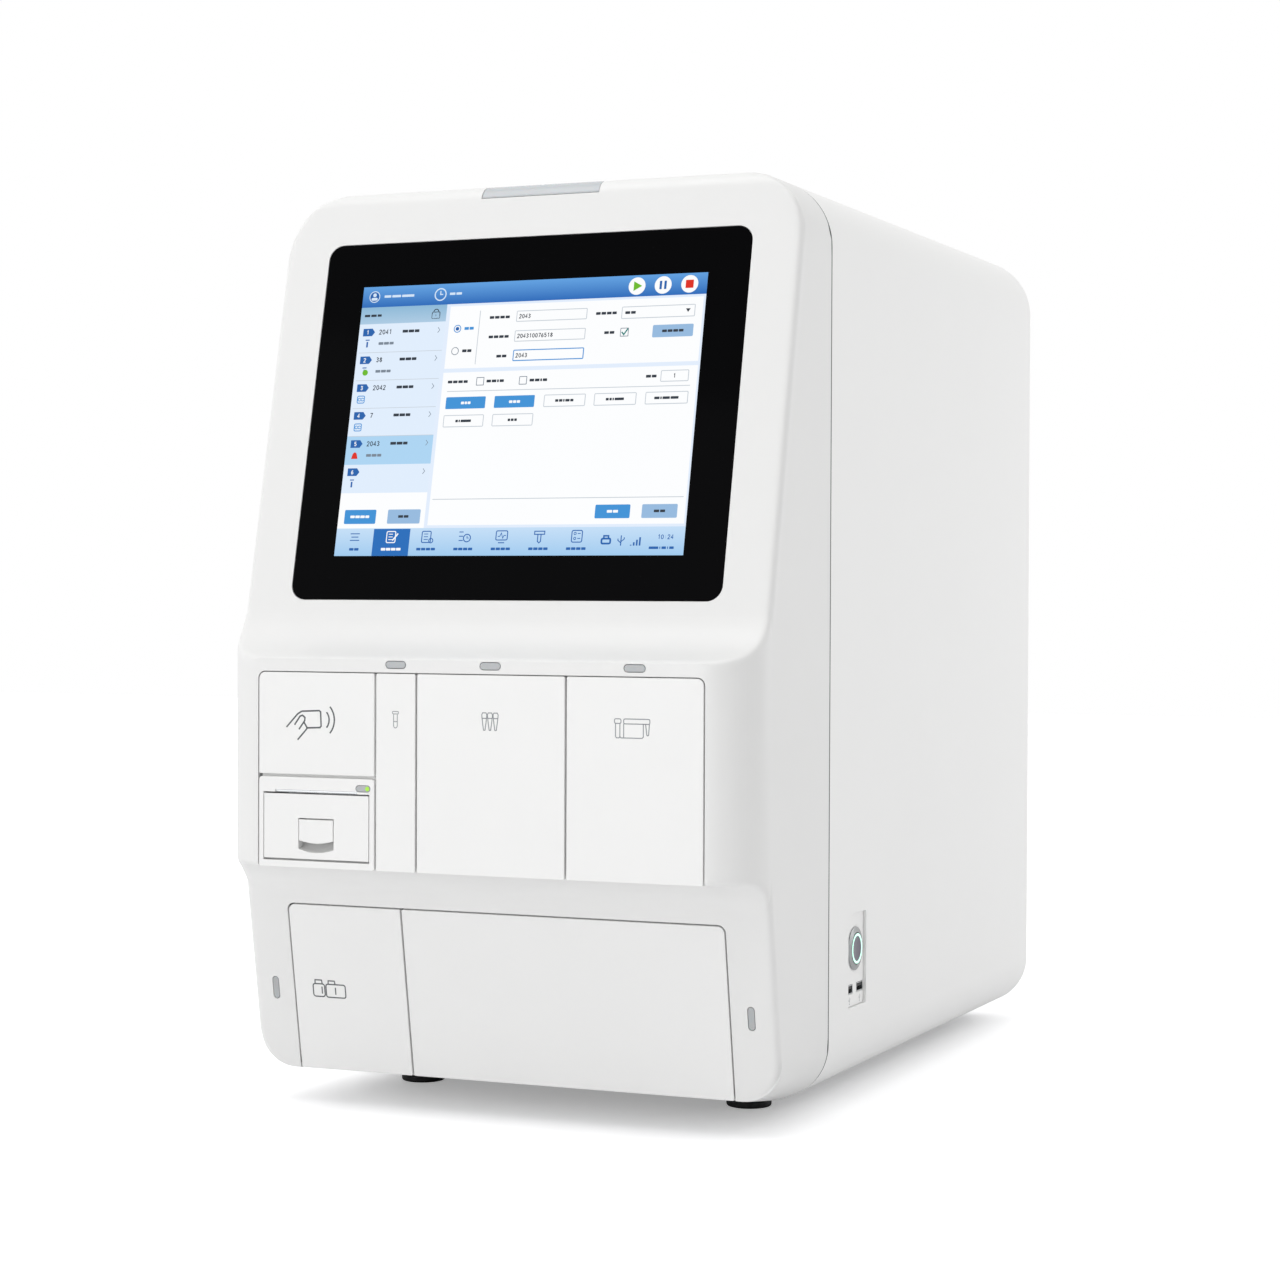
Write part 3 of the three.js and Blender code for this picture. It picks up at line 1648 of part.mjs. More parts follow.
function deckModules() {
  const incubatorFront = behindDrawers(incubator.placeShare);
  const readerFront = behindDrawers(reader.placeShare);
  const incubatorRight = deckHalf - incubator.rightGap;
  const incubatorLeft = incubatorRight - 2 * deckHalf * incubator.widthShare;
  const readerLeft = reader.leftGap - deckHalf;
  const readerRight = readerLeft + 2 * deckHalf * reader.widthShare;
  const floor = deckTop + seatGap;
  const incubatorBlock = block(
    incubatorLeft,
    incubatorRight,
    incubatorFront,
    incubatorFront + incubator.length,
    floor,
    floor + incubator.height,
  );
  const span = incubatorRight - incubatorLeft;
  const grooveCount = Math.floor(span / incubator.leastPitch);
  const pitch = span / grooveCount;
  const grooves = Array.from({ length: grooveCount }, (_, i) => {
    const x = incubatorLeft + (i + 0.5) * pitch;
    return block(
      x - incubator.grooveWidth / 2,
      x + incubator.grooveWidth / 2,
      incubatorFront - overrun,
      incubatorFront + incubator.length + overrun,
      floor + incubator.height - incubator.grooveDepth,
      floor + incubator.height + overrun,
    );
  });
  add('incubator_block', incubatorBlock.subtract(join(grooves)), sheetMetal);
  const readerBox = block(
    readerLeft,
    readerRight,
    readerFront,
    readerFront + reader.length,
    floor,
    floor + reader.height,
  );
  const lens = rod(
    'y',
    [(readerLeft + readerRight) / 2, 0, floor + reader.height / 2],
    reader.lensRadius,
    readerFront - reader.lensLength,
    readerFront + overrun,
    smallSides,
  );
  add('reader_module', readerBox.add(lens), darkPlastic);
}

function electronics() {
  const boardLeft = board.x - board.width / 2;
  const boardRight = board.x + board.width / 2;
  const boardLow = rise(board.bottomRise);
  const floor = floorLow + chassis.sheet + seatGap;
  add(
    'power_supply',
    block(
      supply.x - supply.width / 2,
      supply.x + supply.width / 2,
      deckBack - supply.rearGap - supply.length,
      deckBack - supply.rearGap,
      floor,
      floor + supply.height,
    ),
    sheetMetal,
  );
  const legFront = deckBack + seatGap;
  const boardFront = legFront + board.legLength;
  const panel = block(
    boardLeft,
    boardRight,
    boardFront,
    boardFront + board.thickness,
    boardLow,
    boardLow + board.height,
  );
  const legs = [boardLeft + board.legInset, boardRight - board.legInset].flatMap((x) =>
    [boardLow + board.legInset, boardLow + board.height - board.legInset].map((z) =>
      rod('y', [x, 0, z], board.legRadius, legFront, boardFront + board.thickness / 2, board.legSides),
    ),
  );
  add('main_board', join([panel, ...legs]), circuitBoard);
}

frontFascia();
mainCover();
rearPanel();
basePlate();
feet();
screen();
indicators();
cardReaderModule();
printerBezel();
printerBay();
printerLid();
printerLatch();
sampleDrawer();
tipDrawer();
reagentDrawer();
bottleDrawer();
wasteDrawer();
chassisFrame();
chassisDeck();
chassisFloor();
portPlate();
mainsInlet();
coolingFan();
gantryParts();
deckModules();
electronics();

export default model;
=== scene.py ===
import json
import math

import bpy
import numpy as np
from mathutils import Matrix


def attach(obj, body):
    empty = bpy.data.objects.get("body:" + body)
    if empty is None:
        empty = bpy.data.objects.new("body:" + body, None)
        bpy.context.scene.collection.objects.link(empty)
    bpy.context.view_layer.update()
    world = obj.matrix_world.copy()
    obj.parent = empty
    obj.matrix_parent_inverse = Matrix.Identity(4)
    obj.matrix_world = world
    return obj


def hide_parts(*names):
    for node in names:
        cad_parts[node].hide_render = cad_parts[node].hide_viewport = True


# Looks for the immunoassay analyzer. Lengths are in millimetres, and meshOf() turns them into metres.

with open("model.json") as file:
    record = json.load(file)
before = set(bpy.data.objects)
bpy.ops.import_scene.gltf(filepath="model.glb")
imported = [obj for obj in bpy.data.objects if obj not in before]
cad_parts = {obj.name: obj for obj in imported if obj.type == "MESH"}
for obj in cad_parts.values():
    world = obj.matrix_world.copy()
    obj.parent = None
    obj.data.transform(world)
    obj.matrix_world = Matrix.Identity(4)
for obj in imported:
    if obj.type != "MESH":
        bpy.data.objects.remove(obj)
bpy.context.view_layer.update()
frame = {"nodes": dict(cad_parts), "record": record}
cadNodes = frame["nodes"]
bodyOf = {node: name for name, nodes in frame["record"]["behaviour"]["bodies"].items() for node in nodes}
print("frame loaded:", len(cadNodes), "nodes")

mm = 0.001
degree = math.pi / 180
scene = bpy.context.scene

# Sizes that several pieces share

body = {
    "halfWidth": 185.0,
    "frontY": -321.25,
    "rearY": 321.25,
    "partingY": -179.75,
    "partingGap": 1.3,
    "bottomZ": 12.0,
    "topZ": 606.0,
    "bandBottom": 161.6,
    "bandTop": 296.6,
    "wall": 3.0,
    "topRadius": 45.0,
    "bottomRadius": 36.0,
    "planRadius": 34.0,
    "rearRadius": 25.0,
    "creaseSoftness": 5.5,
    "seamRound": 0.4,
}
slope = {
    "bandEdge": 2.0,
    "shelf": 22.6 * degree,
    "shelfFillet": 46.0,
    "screenSetback": 26.7,
    "screenTilt": 12.63 * degree,
    "topEdge": 13.0,
    "undercutFillet": 24.0,
    "lowerSetback": 31.7,
    "lowerTilt": 9.65 * degree,
    "undersideRun": 70.0,
    "undersideRadius": 26.0,
    "undersideEdge": 1.0,
    "undersideBend": 150.0,
}
band = {
    "left": -154.15,
    "moduleRight": -70.15,
    "sampleLeft": -68.85,
    "sampleRight": -41.05,
    "tipLeft": -39.75,
    "tipRight": 62.254,
    "reagentLeft": 63.554,
    "right": 154.15,
    "bottom": 161.8,
    "top": 287.0,
    "edgeGap": 0.6,
    "sideGap": 0.85,
    "thickness": 4.0,
    "floor": 164.9,
    "windowRadius": 5.0,
}
lowerBand = {
    "left": -153.55,
    "bottleRight": -71.15,
    "wasteLeft": -69.95,
    "right": 153.55,
    "bottom": 23.3,
    "top": 133.6,
    "edgeGap": 0.95,
    "thickness": 4.0,
    "radius": 5.0,
}
glass = {
    "halfWidth": 151.2,
    "bottom": 333.8,
    "top": 570.0,
    "thickness": 2.0,
    "radius": 10.0,
    "clearance": 0.4,
    "lap": 6.0,
}
recess = {"depth": 6.0, "edge": 0.35}
shading = {"sharpAngle": 32.0, "normalWeight": 80}


def screenY(z):
    return body["frontY"] + slope["screenSetback"] + (z - body["bandTop"]) * math.tan(slope["screenTilt"])


def lowerY(z):
    return body["frontY"] + slope["lowerSetback"] + (body["bandBottom"] - z) * math.tan(slope["lowerTilt"])


# A face is an origin and three directions: across it, up it and out of it.
def makeFace(origin, across, up, out):
    return np.array([origin, across, up, out], float)


def sideFace(x):
    return makeFace((x, 0, 0), (0, 1, 0), (0, 0, 1), (1, 0, 0))


glassMiddle = (glass["bottom"] + glass["top"]) / 2
glassHalf = (glass["top"] - glass["bottom"]) / math.cos(slope["screenTilt"]) / 2
tiltSin, tiltCos = math.sin(slope["screenTilt"]), math.cos(slope["screenTilt"])
leanSin, leanCos = math.sin(slope["lowerTilt"]), math.cos(slope["lowerTilt"])
lowerOrigin = (0, lowerY(body["bandBottom"]), body["bandBottom"])
frontFace = makeFace((0, body["frontY"], 0), (1, 0, 0), (0, 0, 1), (0, -1, 0))
glassOrigin = (0, screenY(glassMiddle), glassMiddle)
screenFace = makeFace(glassOrigin, (1, 0, 0), (0, tiltSin, tiltCos), (0, -tiltCos, tiltSin))
lowerFace = makeFace(lowerOrigin, (1, 0, 0), (0, -leanSin, leanCos), (0, -leanCos, -leanSin))
rightFace = sideFace(body["halfWidth"])
rearFace = makeFace((0, body["rearY"], 0), (-1, 0, 0), (0, 0, 1), (0, 1, 0))
underFace = makeFace((0, 0, body["bottomZ"]), (1, 0, 0), (0, -1, 0), (0, 0, -1))
benchFace = makeFace((0, 0, 0), (1, 0, 0), (0, 1, 0), (0, 0, 1))


def upLower(z):
    return (z - body["bandBottom"]) / leanCos


# Point = origin + a * across + b * up + height * out, for every row (a, b).
def onFace(face, flat, height):
    flat = np.asarray(flat, float)
    height = np.broadcast_to(np.asarray(height, float), flat.shape[:1])
    return face[0] + flat[:, :1] * face[1] + flat[:, 1:2] * face[2] + height[:, None] * face[3]


def atY(flat, y):
    return np.column_stack([flat[:, 0], np.full(len(flat), y), flat[:, 1]])


def fullTurn(count):
    return np.linspace(0, 2 * math.pi, count, endpoint=False)


# Point = centre + radius * (cos, sin) at every turn.
def around(a, b, radius, turn):
    return np.stack([a + radius * np.cos(turn), b + radius * np.sin(turn)], -1)


def arcPath(a, b, radius, first, last, count=12):
    return around(a, b, radius, np.linspace(first, last, count) * degree)


# Radius of a hexagon at each turn: its flat's distance over the cosine of the angle from the nearest flat.
def hexRadius(flat, turn):
    return flat / np.cos((turn + math.pi / 6) % (math.pi / 3) - math.pi / 6)


# A form holds points, the corners of its faces one after another, each face's corner count, and its tags.
def form(points, *faceSets, tag=0):
    faceSets = [np.asarray(faces, np.int64) for faces in faceSets]
    sizes = np.concatenate([np.full(len(faces), faces.shape[1]) for faces in faceSets])
    return {
        "points": np.asarray(points, float).reshape(-1, 3),
        "corners": np.concatenate([faces.ravel() for faces in faceSets]),
        "sizes": sizes,
        "tags": np.full(len(sizes), tag),
    }


def joined(forms):
    offsets = np.cumsum([0] + [len(part["points"]) for part in forms[:-1]])
    whole = {key: np.concatenate([part[key] for part in forms]) for key in ("points", "sizes", "tags")}
    corners = np.concatenate([part["corners"] + offset for part, offset in zip(forms, offsets)])
    return {**whole, "corners": corners}


# Volume = sum of a . (b x c) / 6 over every face's fan; where it is negative, all faces are turned round.
def outward(shape):
    points, corners, sizes = shape["points"], shape["corners"], shape["sizes"]
    starts = np.cumsum(sizes) - sizes
    owner = np.repeat(np.arange(len(sizes)), sizes)
    place = np.arange(len(corners)) - starts[owner]
    fan = np.nonzero((place > 0) & (place < sizes[owner] - 1))[0]
    a, b, c = points[corners[starts[owner[fan]]]], points[corners[fan]], points[corners[fan + 1]]
    if np.einsum("ij,ij->i", a, np.cross(b, c)).sum() < 0:
        corners = corners[starts[owner] + sizes[owner] - 1 - place]
    return {**shape, "corners": corners}


# Rings of equal count joined row to row; the ends are closed with one flat face each, or joined when looped.
def ringStack(rings, looped=False, tag=0):
    rings = np.asarray(rings, float)
    rows, count = rings.shape[:2]
    index = np.arange(rows * count).reshape(rows, count)
    lower = index if looped else index[:-1]
    upper = np.roll(index, -1, 0) if looped else index[1:]
    quads = np.stack([lower, np.roll(lower, -1, 1), np.roll(upper, -1, 1), upper], -1).reshape(-1, 4)
    caps = [] if looped else [index[:1, ::-1], index[-1:]]
    return outward(form(rings.reshape(-1, 3), quads, *caps, tag=tag))


def meshOf(name, shape):
    mesh = bpy.data.meshes.new(name)
    mesh.vertices.add(len(shape["points"]))
    mesh.vertices.foreach_set("co", (shape["points"] * mm).ravel())
    mesh.loops.add(len(shape["corners"]))
    mesh.loops.foreach_set("vertex_index", shape["corners"].astype(np.int32))
    mesh.polygons.add(len(shape["sizes"]))
    mesh.polygons.foreach_set("loop_start", (np.cumsum(shape["sizes"]) - shape["sizes"]).astype(np.int32))
    mesh.polygons.foreach_set("material_index", shape["tags"].astype(np.int32))
    mesh.update(calc_edges=True)
    return mesh


def newObject(name, data):
    piece = bpy.data.objects.new(name, data)
    scene.collection.objects.link(piece)
    return piece


def newShape(name, shape):
    return newObject(name, meshOf(name, shape))


def polygonValues(mesh, name):
    values = np.zeros(len(mesh.polygons), np.int32)
    mesh.polygons.foreach_get(name, values)
    return values


# Smooth shading, with sharp edges where faces meet at a large angle or where a cut face meets an uncut one.
def shadeSmooth(mesh, keepCuts):
    mesh.shade_smooth()
    mesh.set_sharp_from_angle(angle=shading["sharpAngle"] * degree)
    if not keepCuts:
        return
    edgeOf = np.zeros(len(mesh.loops), np.int32)
    mesh.loops.foreach_get("edge_index", edgeOf)
    tagOf = np.repeat(polygonValues(mesh, "material_index"), polygonValues(mesh, "loop_total"))
    lowest = np.full(len(mesh.edges), 99)
    highest = np.full(len(mesh.edges), -1)
    np.minimum.at(lowest, edgeOf, tagOf)
    np.maximum.at(highest, edgeOf, tagOf)
    sharp = np.zeros(len(mesh.edges), bool)
    marks = mesh.attributes.get("sharp_edge") or mesh.attributes.new("sharp_edge", "BOOLEAN", "EDGE")
    marks.data.foreach_get("value", sharp)
    marks.data.foreach_set("value", sharp | (lowest != highest))


# The finishes fill the mesh's slots in the order of the form's tags; tags past the last finish take it too.
def finishPiece(piece, finishes, ridesOn="housing", replaces=(), keepCuts=False):
    mesh = piece.data
    tags = polygonValues(mesh, "material_index")
    mesh.materials.clear()
    for finish in finishes:
        mesh.materials.append(materials[finish])
    mesh.polygons.foreach_set("material_index", tags)
    shadeSmooth(mesh, keepCuts)
    mesh.polygons.foreach_set("material_index", np.minimum(tags, len(finishes) - 1).astype(np.int32))
    evenNormals = piece.modifiers.new("evenNormals", "WEIGHTED_NORMAL")
    evenNormals.keep_sharp = True
    evenNormals.weight = shading["normalWeight"]
    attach(piece, ridesOn)
    if replaces:
        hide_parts(*replaces)


def newPiece(name, shape, finishes, ridesOn="housing", replaces=()):
    finishPiece(newShape(name, shape), finishes, ridesOn, replaces)


# Replaces the piece's mesh by what its modifiers make of it.
def settle(piece):
    bpy.context.view_layer.update()
    settled = bpy.data.meshes.new_from_object(piece.evaluated_get(bpy.context.evaluated_depsgraph_get()))
    piece.modifiers.clear()
    piece.data = settled


# Cuts the shapes out of the piece, or adds them to it. The cut faces carry the given tag.
def combine(piece, shapes, operation, tag):
    while len(piece.data.materials) < 2:
        piece.data.materials.append(None)
    tools = []
    for number, shape in enumerate(shapes):
        tool = newShape(f"tool{number}", {**shape, "tags": np.full(len(shape["sizes"]), tag)})
        tool.data.materials.append(None)
        tool.data.materials.append(None)
        step = piece.modifiers.new(f"tool{number}", "BOOLEAN")
        step.operation = operation
        step.solver = "MANIFOLD"
        step.object = tool
        tools.append(tool)
    settle(piece)
    for tool in tools:
        bpy.data.meshes.remove(tool.data)


def carve(piece, cuts):
    combine(piece, cuts, "DIFFERENCE", 1)


# Rounded box, anticlockwise from the lower right: corner centre + radius * (cos, sin) over each quarter.
# A support point a little before and after each quarter keeps flat sides flat when they are shaded.
def roundedBox(left, right, low, high, radius, steps=6, support=0.0):
    radii = np.maximum(np.broadcast_to(np.asarray(radius, float), 4), 0.03)
    centresX = np.array([right - radii[0], right - radii[1], left + radii[2], left + radii[3]])
    centresZ = np.array([low + radii[0], high - radii[1], high - radii[2], low + radii[3]])
    turn = (np.array([-90.0, 0.0, 90.0, 180.0])[:, None] + np.linspace(0, 90, steps + 1)[None]) * degree
    points = around(centresX[:, None], centresZ[:, None], radii[:, None], turn)
    if support:
        along = np.stack([-np.sin(turn), np.cos(turn)], -1)
        before = points[:, :1] - support * along[:, :1]
        after = points[:, -1:] + support * along[:, -1:]
        points = np.concatenate([before, points, after], 1)
    return points.reshape(-1, 2)


# An outline is a function of how far its sides move inwards.
def boxOutline(left, right, low, high, radius=1.0, steps=6, support=0.0):
    radii = np.broadcast_to(np.asarray(radius, float), 4)

    def outline(inset):
        inner = (left + inset, right - inset, low + inset, high - inset)
        return roundedBox(*inner, radii - inset, steps, support)

    return outline


def middleOutline(a, b, length, breadth, radius, steps=6):
    return boxOutline(a - length / 2, a + length / 2, b - breadth / 2, b + breadth / 2, radius, steps)


def pillOutline(a, b, length, breadth):
    return middleOutline(a, b, length, breadth, min(length, breadth) / 2, 8)


def widened(outline, by):
    return lambda inset: outline(inset - by)


# Plate: the outline carried from `low` to `high` over a face, with a quarter round at its front edge.
def plate(face, outline, low, high, edge=0.4, rear=0.15, tag=0):
    turn = np.linspace(0, 90, 5) * degree
    insets = [rear + 0.2, rear, 0.0, *(edge * (1 - np.cos(turn))), edge + 0.2]
    heights = [low, low, low + rear, *(high - edge + edge * np.sin(turn)), high]
    return ringStack([onFace(face, outline(i), h) for i, h in zip(insets, heights)], tag=tag)


# Prism: a flat ring carried straight from one height over the face to another.
def prism(face, ring, low, high, tag=0):
    return ringStack([onFace(face, ring, low), onFace(face, ring, high)], tag=tag)


# Cutter: the outline carried up to the surface and flared there by a round of `edge`, its last slant kept up.
def cutter(face, outline, depth, edge=0.4, over=0.6):
    turn = np.linspace(0, 76, 5) * degree
    outsets = [0.0, *(edge * (1 - np.cos(turn)))]
    heights = [-depth, *(edge * (np.sin(turn) - 1))]
    outsets.append(outsets[-1] + over * math.sin(turn[-1]))
    heights.append(heights[-1] + over * math.cos(turn[-1]))
    return ringStack([onFace(face, outline(-o), h) for o, h in zip(outsets, heights)])


# A profile of (radius, height) rows turned about an axis that stands on a face; looped, it is an open ring.
def turnedForm(face, a, b, profile, count=48, looped=False, tag=0):
    turn = fullTurn(count)
    rings = [onFace(face, around(a, b, radius, turn), height) for radius, height in profile]
    return ringStack(rings, looped, tag)


# Line mark: a path of flat points carried by a section `width` wide and `height` high, mitred at each point.
def stroke(face, path, width, height, closed=False, base=0.0, tag=0):
    path = np.asarray(path, float)
    before = np.roll(path, 1, 0) if closed else np.concatenate([path[:1], path[:-1]])
    after = np.roll(path, -1, 0) if closed else np.concatenate([path[1:], path[-1:]])
    into = path - before
    out = after - path
    into[np.linalg.norm(into, axis=1) < 1e-9] = out[np.linalg.norm(into, axis=1) < 1e-9]
    out[np.linalg.norm(out, axis=1) < 1e-9] = into[np.linalg.norm(out, axis=1) < 1e-9]
    into /= np.linalg.norm(into, axis=1)[:, None]
    out /= np.linalg.norm(out, axis=1)[:, None]
    side = np.stack([-(into + out)[:, 1], (into + out)[:, 0]], -1)
    side /= np.linalg.norm(side, axis=1)[:, None]
    normal = np.stack([-into[:, 1], into[:, 0]], -1)
    reach = width / 2 / np.maximum(np.einsum("ij,ij->i", side, normal), 0.45)
    left, right = path + side * reach[:, None], path - side * reach[:, None]
    rows = [(left, base), (right, base), (right, base + height), (left, base + height)]
    return ringStack(np.stack([onFace(face, row, h) for row, h in rows], 1), looped=closed, tag=tag)


# A copy of a CAD node, its loose triangles merged and its flat faces joined, with a small round on its edges.
def dressed(node, finish, bevel):
    piece = newObject(node + "_dressed", cadNodes[node].data.copy())
    piece.data.materials.clear()
    merge = piece.modifiers.new("merge", "WELD")
    merge.merge_threshold = 1e-5
    flatten = piece.modifiers.new("flatten", "DECIMATE")
    flatten.decimate_type = "DISSOLVE"
    flatten.angle_limit = 0.4 * degree
    settle(piece)
    piece.data.name = piece.name
    rounding = piece.modifiers.new("rounding", "BEVEL")
    rounding.width = bevel * mm
    rounding.segments = 2
    rounding.limit_method = "ANGLE"
    rounding.angle_limit = 35 * degree
    rounding.use_clamp_overlap = True
    rounding.miter_outer = "MITER_ARC"
    rounding.harden_normals = False
    finishPiece(piece, [finish], bodyOf[node], [node])


# Finishes. Each row gives the slot, the colour (0-255 sRGB), how far it varies, the size of that slow change, the
# roughness, how far it varies, and the size and height of the grain, in millimetres. `shader` holds plain values
# for the shader's own sockets, `glow` is light of its own and `cells` makes the grain of cells.
lookParts = ("slot", "colour", "vary", "cloud", "rough", "roughVary", "grain", "grainHeight")


def look(*values, **more):
    return {**dict(zip(lookParts, values)), **more}


def softWithin(weight, scale):
    return {"Subsurface Weight": weight, "Subsurface Scale": scale}


finishLooks = {
    # frontShell is a shade darker and coverShell a shade lighter than one white plastic: painted shade on the
    # front moulding's corner strip and painted light on the cover's side.
    "frontShell": look("front_shell", (231, 231, 230), 0.006, 70, 0.38, 0.06, 0.45, 0.005),
    "coverShell": look("cover_shell", (241, 241, 240), 0.008, 110, 0.46, 0.06, 0.6, 0.010),
    "drawerWhite": look("drawer_white", (237, 237, 236), 0.005, 60, 0.36, 0.05, 0.45, 0.005),
    "panelWhite": look("panel_white", (237, 237, 236), 0.005, 50, 0.36, 0.05, 0.45, 0.005),
    # railShadeGrey is painted shade: a grey darker than the moulding, seen only through the gaps between the
    # fronts.
    "railShadeGrey": look("front_shell", (168, 169, 170), 0.02, 25, 0.55, 0.06, 0.5, 0.01),
    "frameGrey": look("front_shell", (206, 206, 206), 0.02, 25, 0.55, 0.06, 0.5, 0.01),
    "blackGlass": look(
        "black_glass", (3, 3, 4), 0.2, 40, 0.07, 0.04, 8.0, 0.0, shader={"Specular IOR Level": 0.03}
    ),
    "lensGrey": look(
        "lens_grey", (176, 179, 181), 0.03, 5, 0.3, 0.05, 0.5, 0.004, shader=softWithin(0.15, 0.001)
    ),
    "lampGrey": look(
        "lamp_grey", (190, 194, 197), 0.006, 30, 0.26, 0.05, 0.7, 0.004, shader=softWithin(0.1, 0.001)
    ),
    "litGreen": look("lit_green", (150, 205, 60), 0.05, 2, 0.35, 0.05, 0.4, 0.003, glow=0.35),
    "ringGlow": look("lit_green", (196, 246, 226), 0.04, 3, 0.3, 0.05, 0.4, 0.002, glow=0.8),
    "bezelGrey": look(
        "bright_metal", (158, 160, 161), 0.04, 8, 0.34, 0.08, 0.25, 0.004, shader={"Metallic": 0.85}
    ),
    # gapShadeGrey is painted shade: the dark strip set into the parting line.
    "gapShadeGrey": look("black_rubber", (58, 59, 61), 0.2, 8, 0.7, 0.1, 0.4, 0.02),
    "blackRubber": look("black_rubber", (20, 20, 21), 0.25, 6, 0.72, 0.12, 0.35, 0.03),
    "trayGrey": look("tray_grey", (203, 206, 208), 0.02, 30, 0.5, 0.08, 0.5, 0.012),
    "darkPlastic": look("dark_plastic", (38, 40, 42), 0.12, 20, 0.5, 0.1, 0.5, 0.02),
    "sheetSteel": look(
        "sheet_steel", (176, 180, 183), 0.08, 9, 0.36, 0.14, 3.5, 0.004, cells=True, shader={"Metallic": 0.9}
    ),
    "brightMetal": look(
        "bright_metal", (200, 203, 205), 0.03, 12, 0.24, 0.08, 0.3, 0.003,
        stretch=(0.05, 1, 1), shader={"Metallic": 1.0},
    ),
    "satinRing": look(
        "bright_metal", (206, 209, 211), 0.03, 8, 0.3, 0.08, 0.25, 0.004, shader={"Metallic": 0.85}
    ),
    "boardGreen": look("board_green", (30, 92, 58), 0.25, 4, 0.42, 0.12, 1.6, 0.03, cells=True),
    "paperWhite": look("paper", (243, 242, 237), 0.02, 5, 0.88, 0.05, 0.2, 0.01, stretch=(1, 0.2, 0.2)),
    "bottleWhite": look(
        "bottle_white", (228, 232, 233), 0.02, 25, 0.38, 0.08, 1.2, 0.02, shader=softWithin(0.25, 0.004)
    ),
    "tubeClear": look(
        "tube_clear", (222, 228, 232), 0.03, 10, 0.12, 0.04, 1.0, 0.003,
        shader={"Coat Weight": 0.4, "Coat Roughness": 0.05},
    ),
    "markGrey": look("panel_white", (134, 138, 142), 0.04, 6, 0.5, 0.05, 0.3, 0.002),
    "markDark": look("panel_white", (86, 89, 92), 0.04, 6, 0.5, 0.05, 0.3, 0.002),
    "buttonDusk": look(
        "bright_metal", (104, 100, 112), 0.05, 5, 0.3, 0.06, 0.25, 0.003, shader={"Metallic": 0.5}
    ),
}


def fromByte(value):
    value = value / 255
    return value / 12.92 if value <= 0.04045 else ((value + 0.055) / 1.055) ** 2.4


def linearColour(colour, gain=1.0):
    return tuple(min(1.0, fromByte(part) * gain) for part in colour) + (1.0,)


# Sets a node's inputs: a value is stored on the input itself, and another node's output is linked to it.
def feed(tree, node, inputs):
    for name, value in inputs.items():
        if isinstance(value, bpy.types.NodeSocket):
            tree.links.new(value, node.inputs[name])
        else:
            node.inputs[name].default_value = value


def addNode(tree, kind, inputs, **settings):
    node = tree.nodes.new("ShaderNode" + kind)
    for name, value in settings.items():
        setattr(node, name, value)
    feed(tree, node, inputs)
    return node


def newFinish(name):
    material = bpy.data.materials.new(name)
    material.use_nodes = True
    return material, material.node_tree, material.node_tree.nodes["Principled BSDF"]


# Procedural finish: a slow noise moves the colour between two close tones, another moves the roughness,
# and a fine noise (or cells, for zinc spangle and board tracks) gives the bump.
def makeFinish(name, finish):
    material, tree, shader = newFinish(name)
    place = addNode(tree, "TexCoord", {}).outputs["Object"]
    mapping = addNode(tree, "Mapping", {"Scale": finish.get("stretch", (1, 1, 1)), "Vector": place})
    stretch = mapping.outputs["Vector"]
    cloudScale = 1 / (finish["cloud"] * mm)
    cloud = addNode(tree, "TexNoise", {"Scale": cloudScale, "Detail": 3, "Vector": place})
    low, high = (linearColour(finish["colour"], 1 + side * finish["vary"]) for side in (-1, 1))
    mixed = addNode(tree, "Mix", {"A": low, "B": high, "Factor": cloud.outputs["Fac"]}, data_type="RGBA")
    tint = mixed.outputs["Result"]
    handled = addNode(tree, "TexNoise", {"Scale": cloudScale / 0.4, "Detail": 4, "Vector": stretch})
    least = max(0.02, finish["rough"] - finish["roughVary"])
    most = finish["rough"] + finish["roughVary"]
    spread = addNode(tree, "MapRange", {"To Min": least, "To Max": most, "Value": handled.outputs["Fac"]})
    feed(tree, shader, {"Base Color": tint, "Roughness": spread.outputs["Result"], **finish.get("shader", {})})
    if finish["grainHeight"]:
        kind, reading = ("TexVoronoi", "Distance") if finish.get("cells") else ("TexNoise", "Fac")
        grain = addNode(tree, kind, {"Scale": 1 / (finish["grain"] * mm), "Vector": stretch})
        heights = {"Distance": finish["grainHeight"] * mm, "Height": grain.outputs[reading]}
        bump = addNode(tree, "Bump", heights)
        feed(tree, shader, {"Normal": bump.outputs["Normal"]})
    if finish.get("glow"):
        feed(tree, shader, {"Emission Color": tint, "Emission Strength": finish["glow"]})
    return material


materials = {name: makeFinish(name, finish) for name, finish in finishLooks.items()}
slotNames = {name: finish["slot"] for name, finish in finishLooks.items()}
print("finishes made:", len(materials))


# Moulded front

shellGrid = {"skeleton": 30.0, "fan": 26, "across": 40, "up": 50}


# Side-view branch: lines, each a point (depth, height) and the angle of its outward normal (-cos, sin), with a
# round between neighbours. Round centre = the point at -s from both lines; the arc is centre + s * normal,
# where s is the radius, negative where the corner is hollow. Returns rows of (depth, height, angle).
def profileBranch(lines, radii, end, step):
    rows = []
    for (first, angleA), (second, angleB), radius in zip(lines, lines[1:], radii):
        s = radius if angleB > angleA else -radius
        normals = np.array([[-math.cos(a), math.sin(a)] for a in (angleA, angleB)])
        reach = np.array([np.dot(first, normals[0]) - s, np.dot(second, normals[1]) - s])
        centre = np.linalg.solve(normals, reach)
        turn = np.linspace(angleA, angleB, max(3, int(abs(angleB - angleA) / step) + 1))
        arc = centre + s * np.stack([-np.cos(turn), np.sin(turn)], -1)
        rows.append(np.column_stack([arc, turn]))
    last = rows[-1][-1]
    rows.append(np.array([[end, last[1], last[2]]]))
    return np.concatenate(rows)


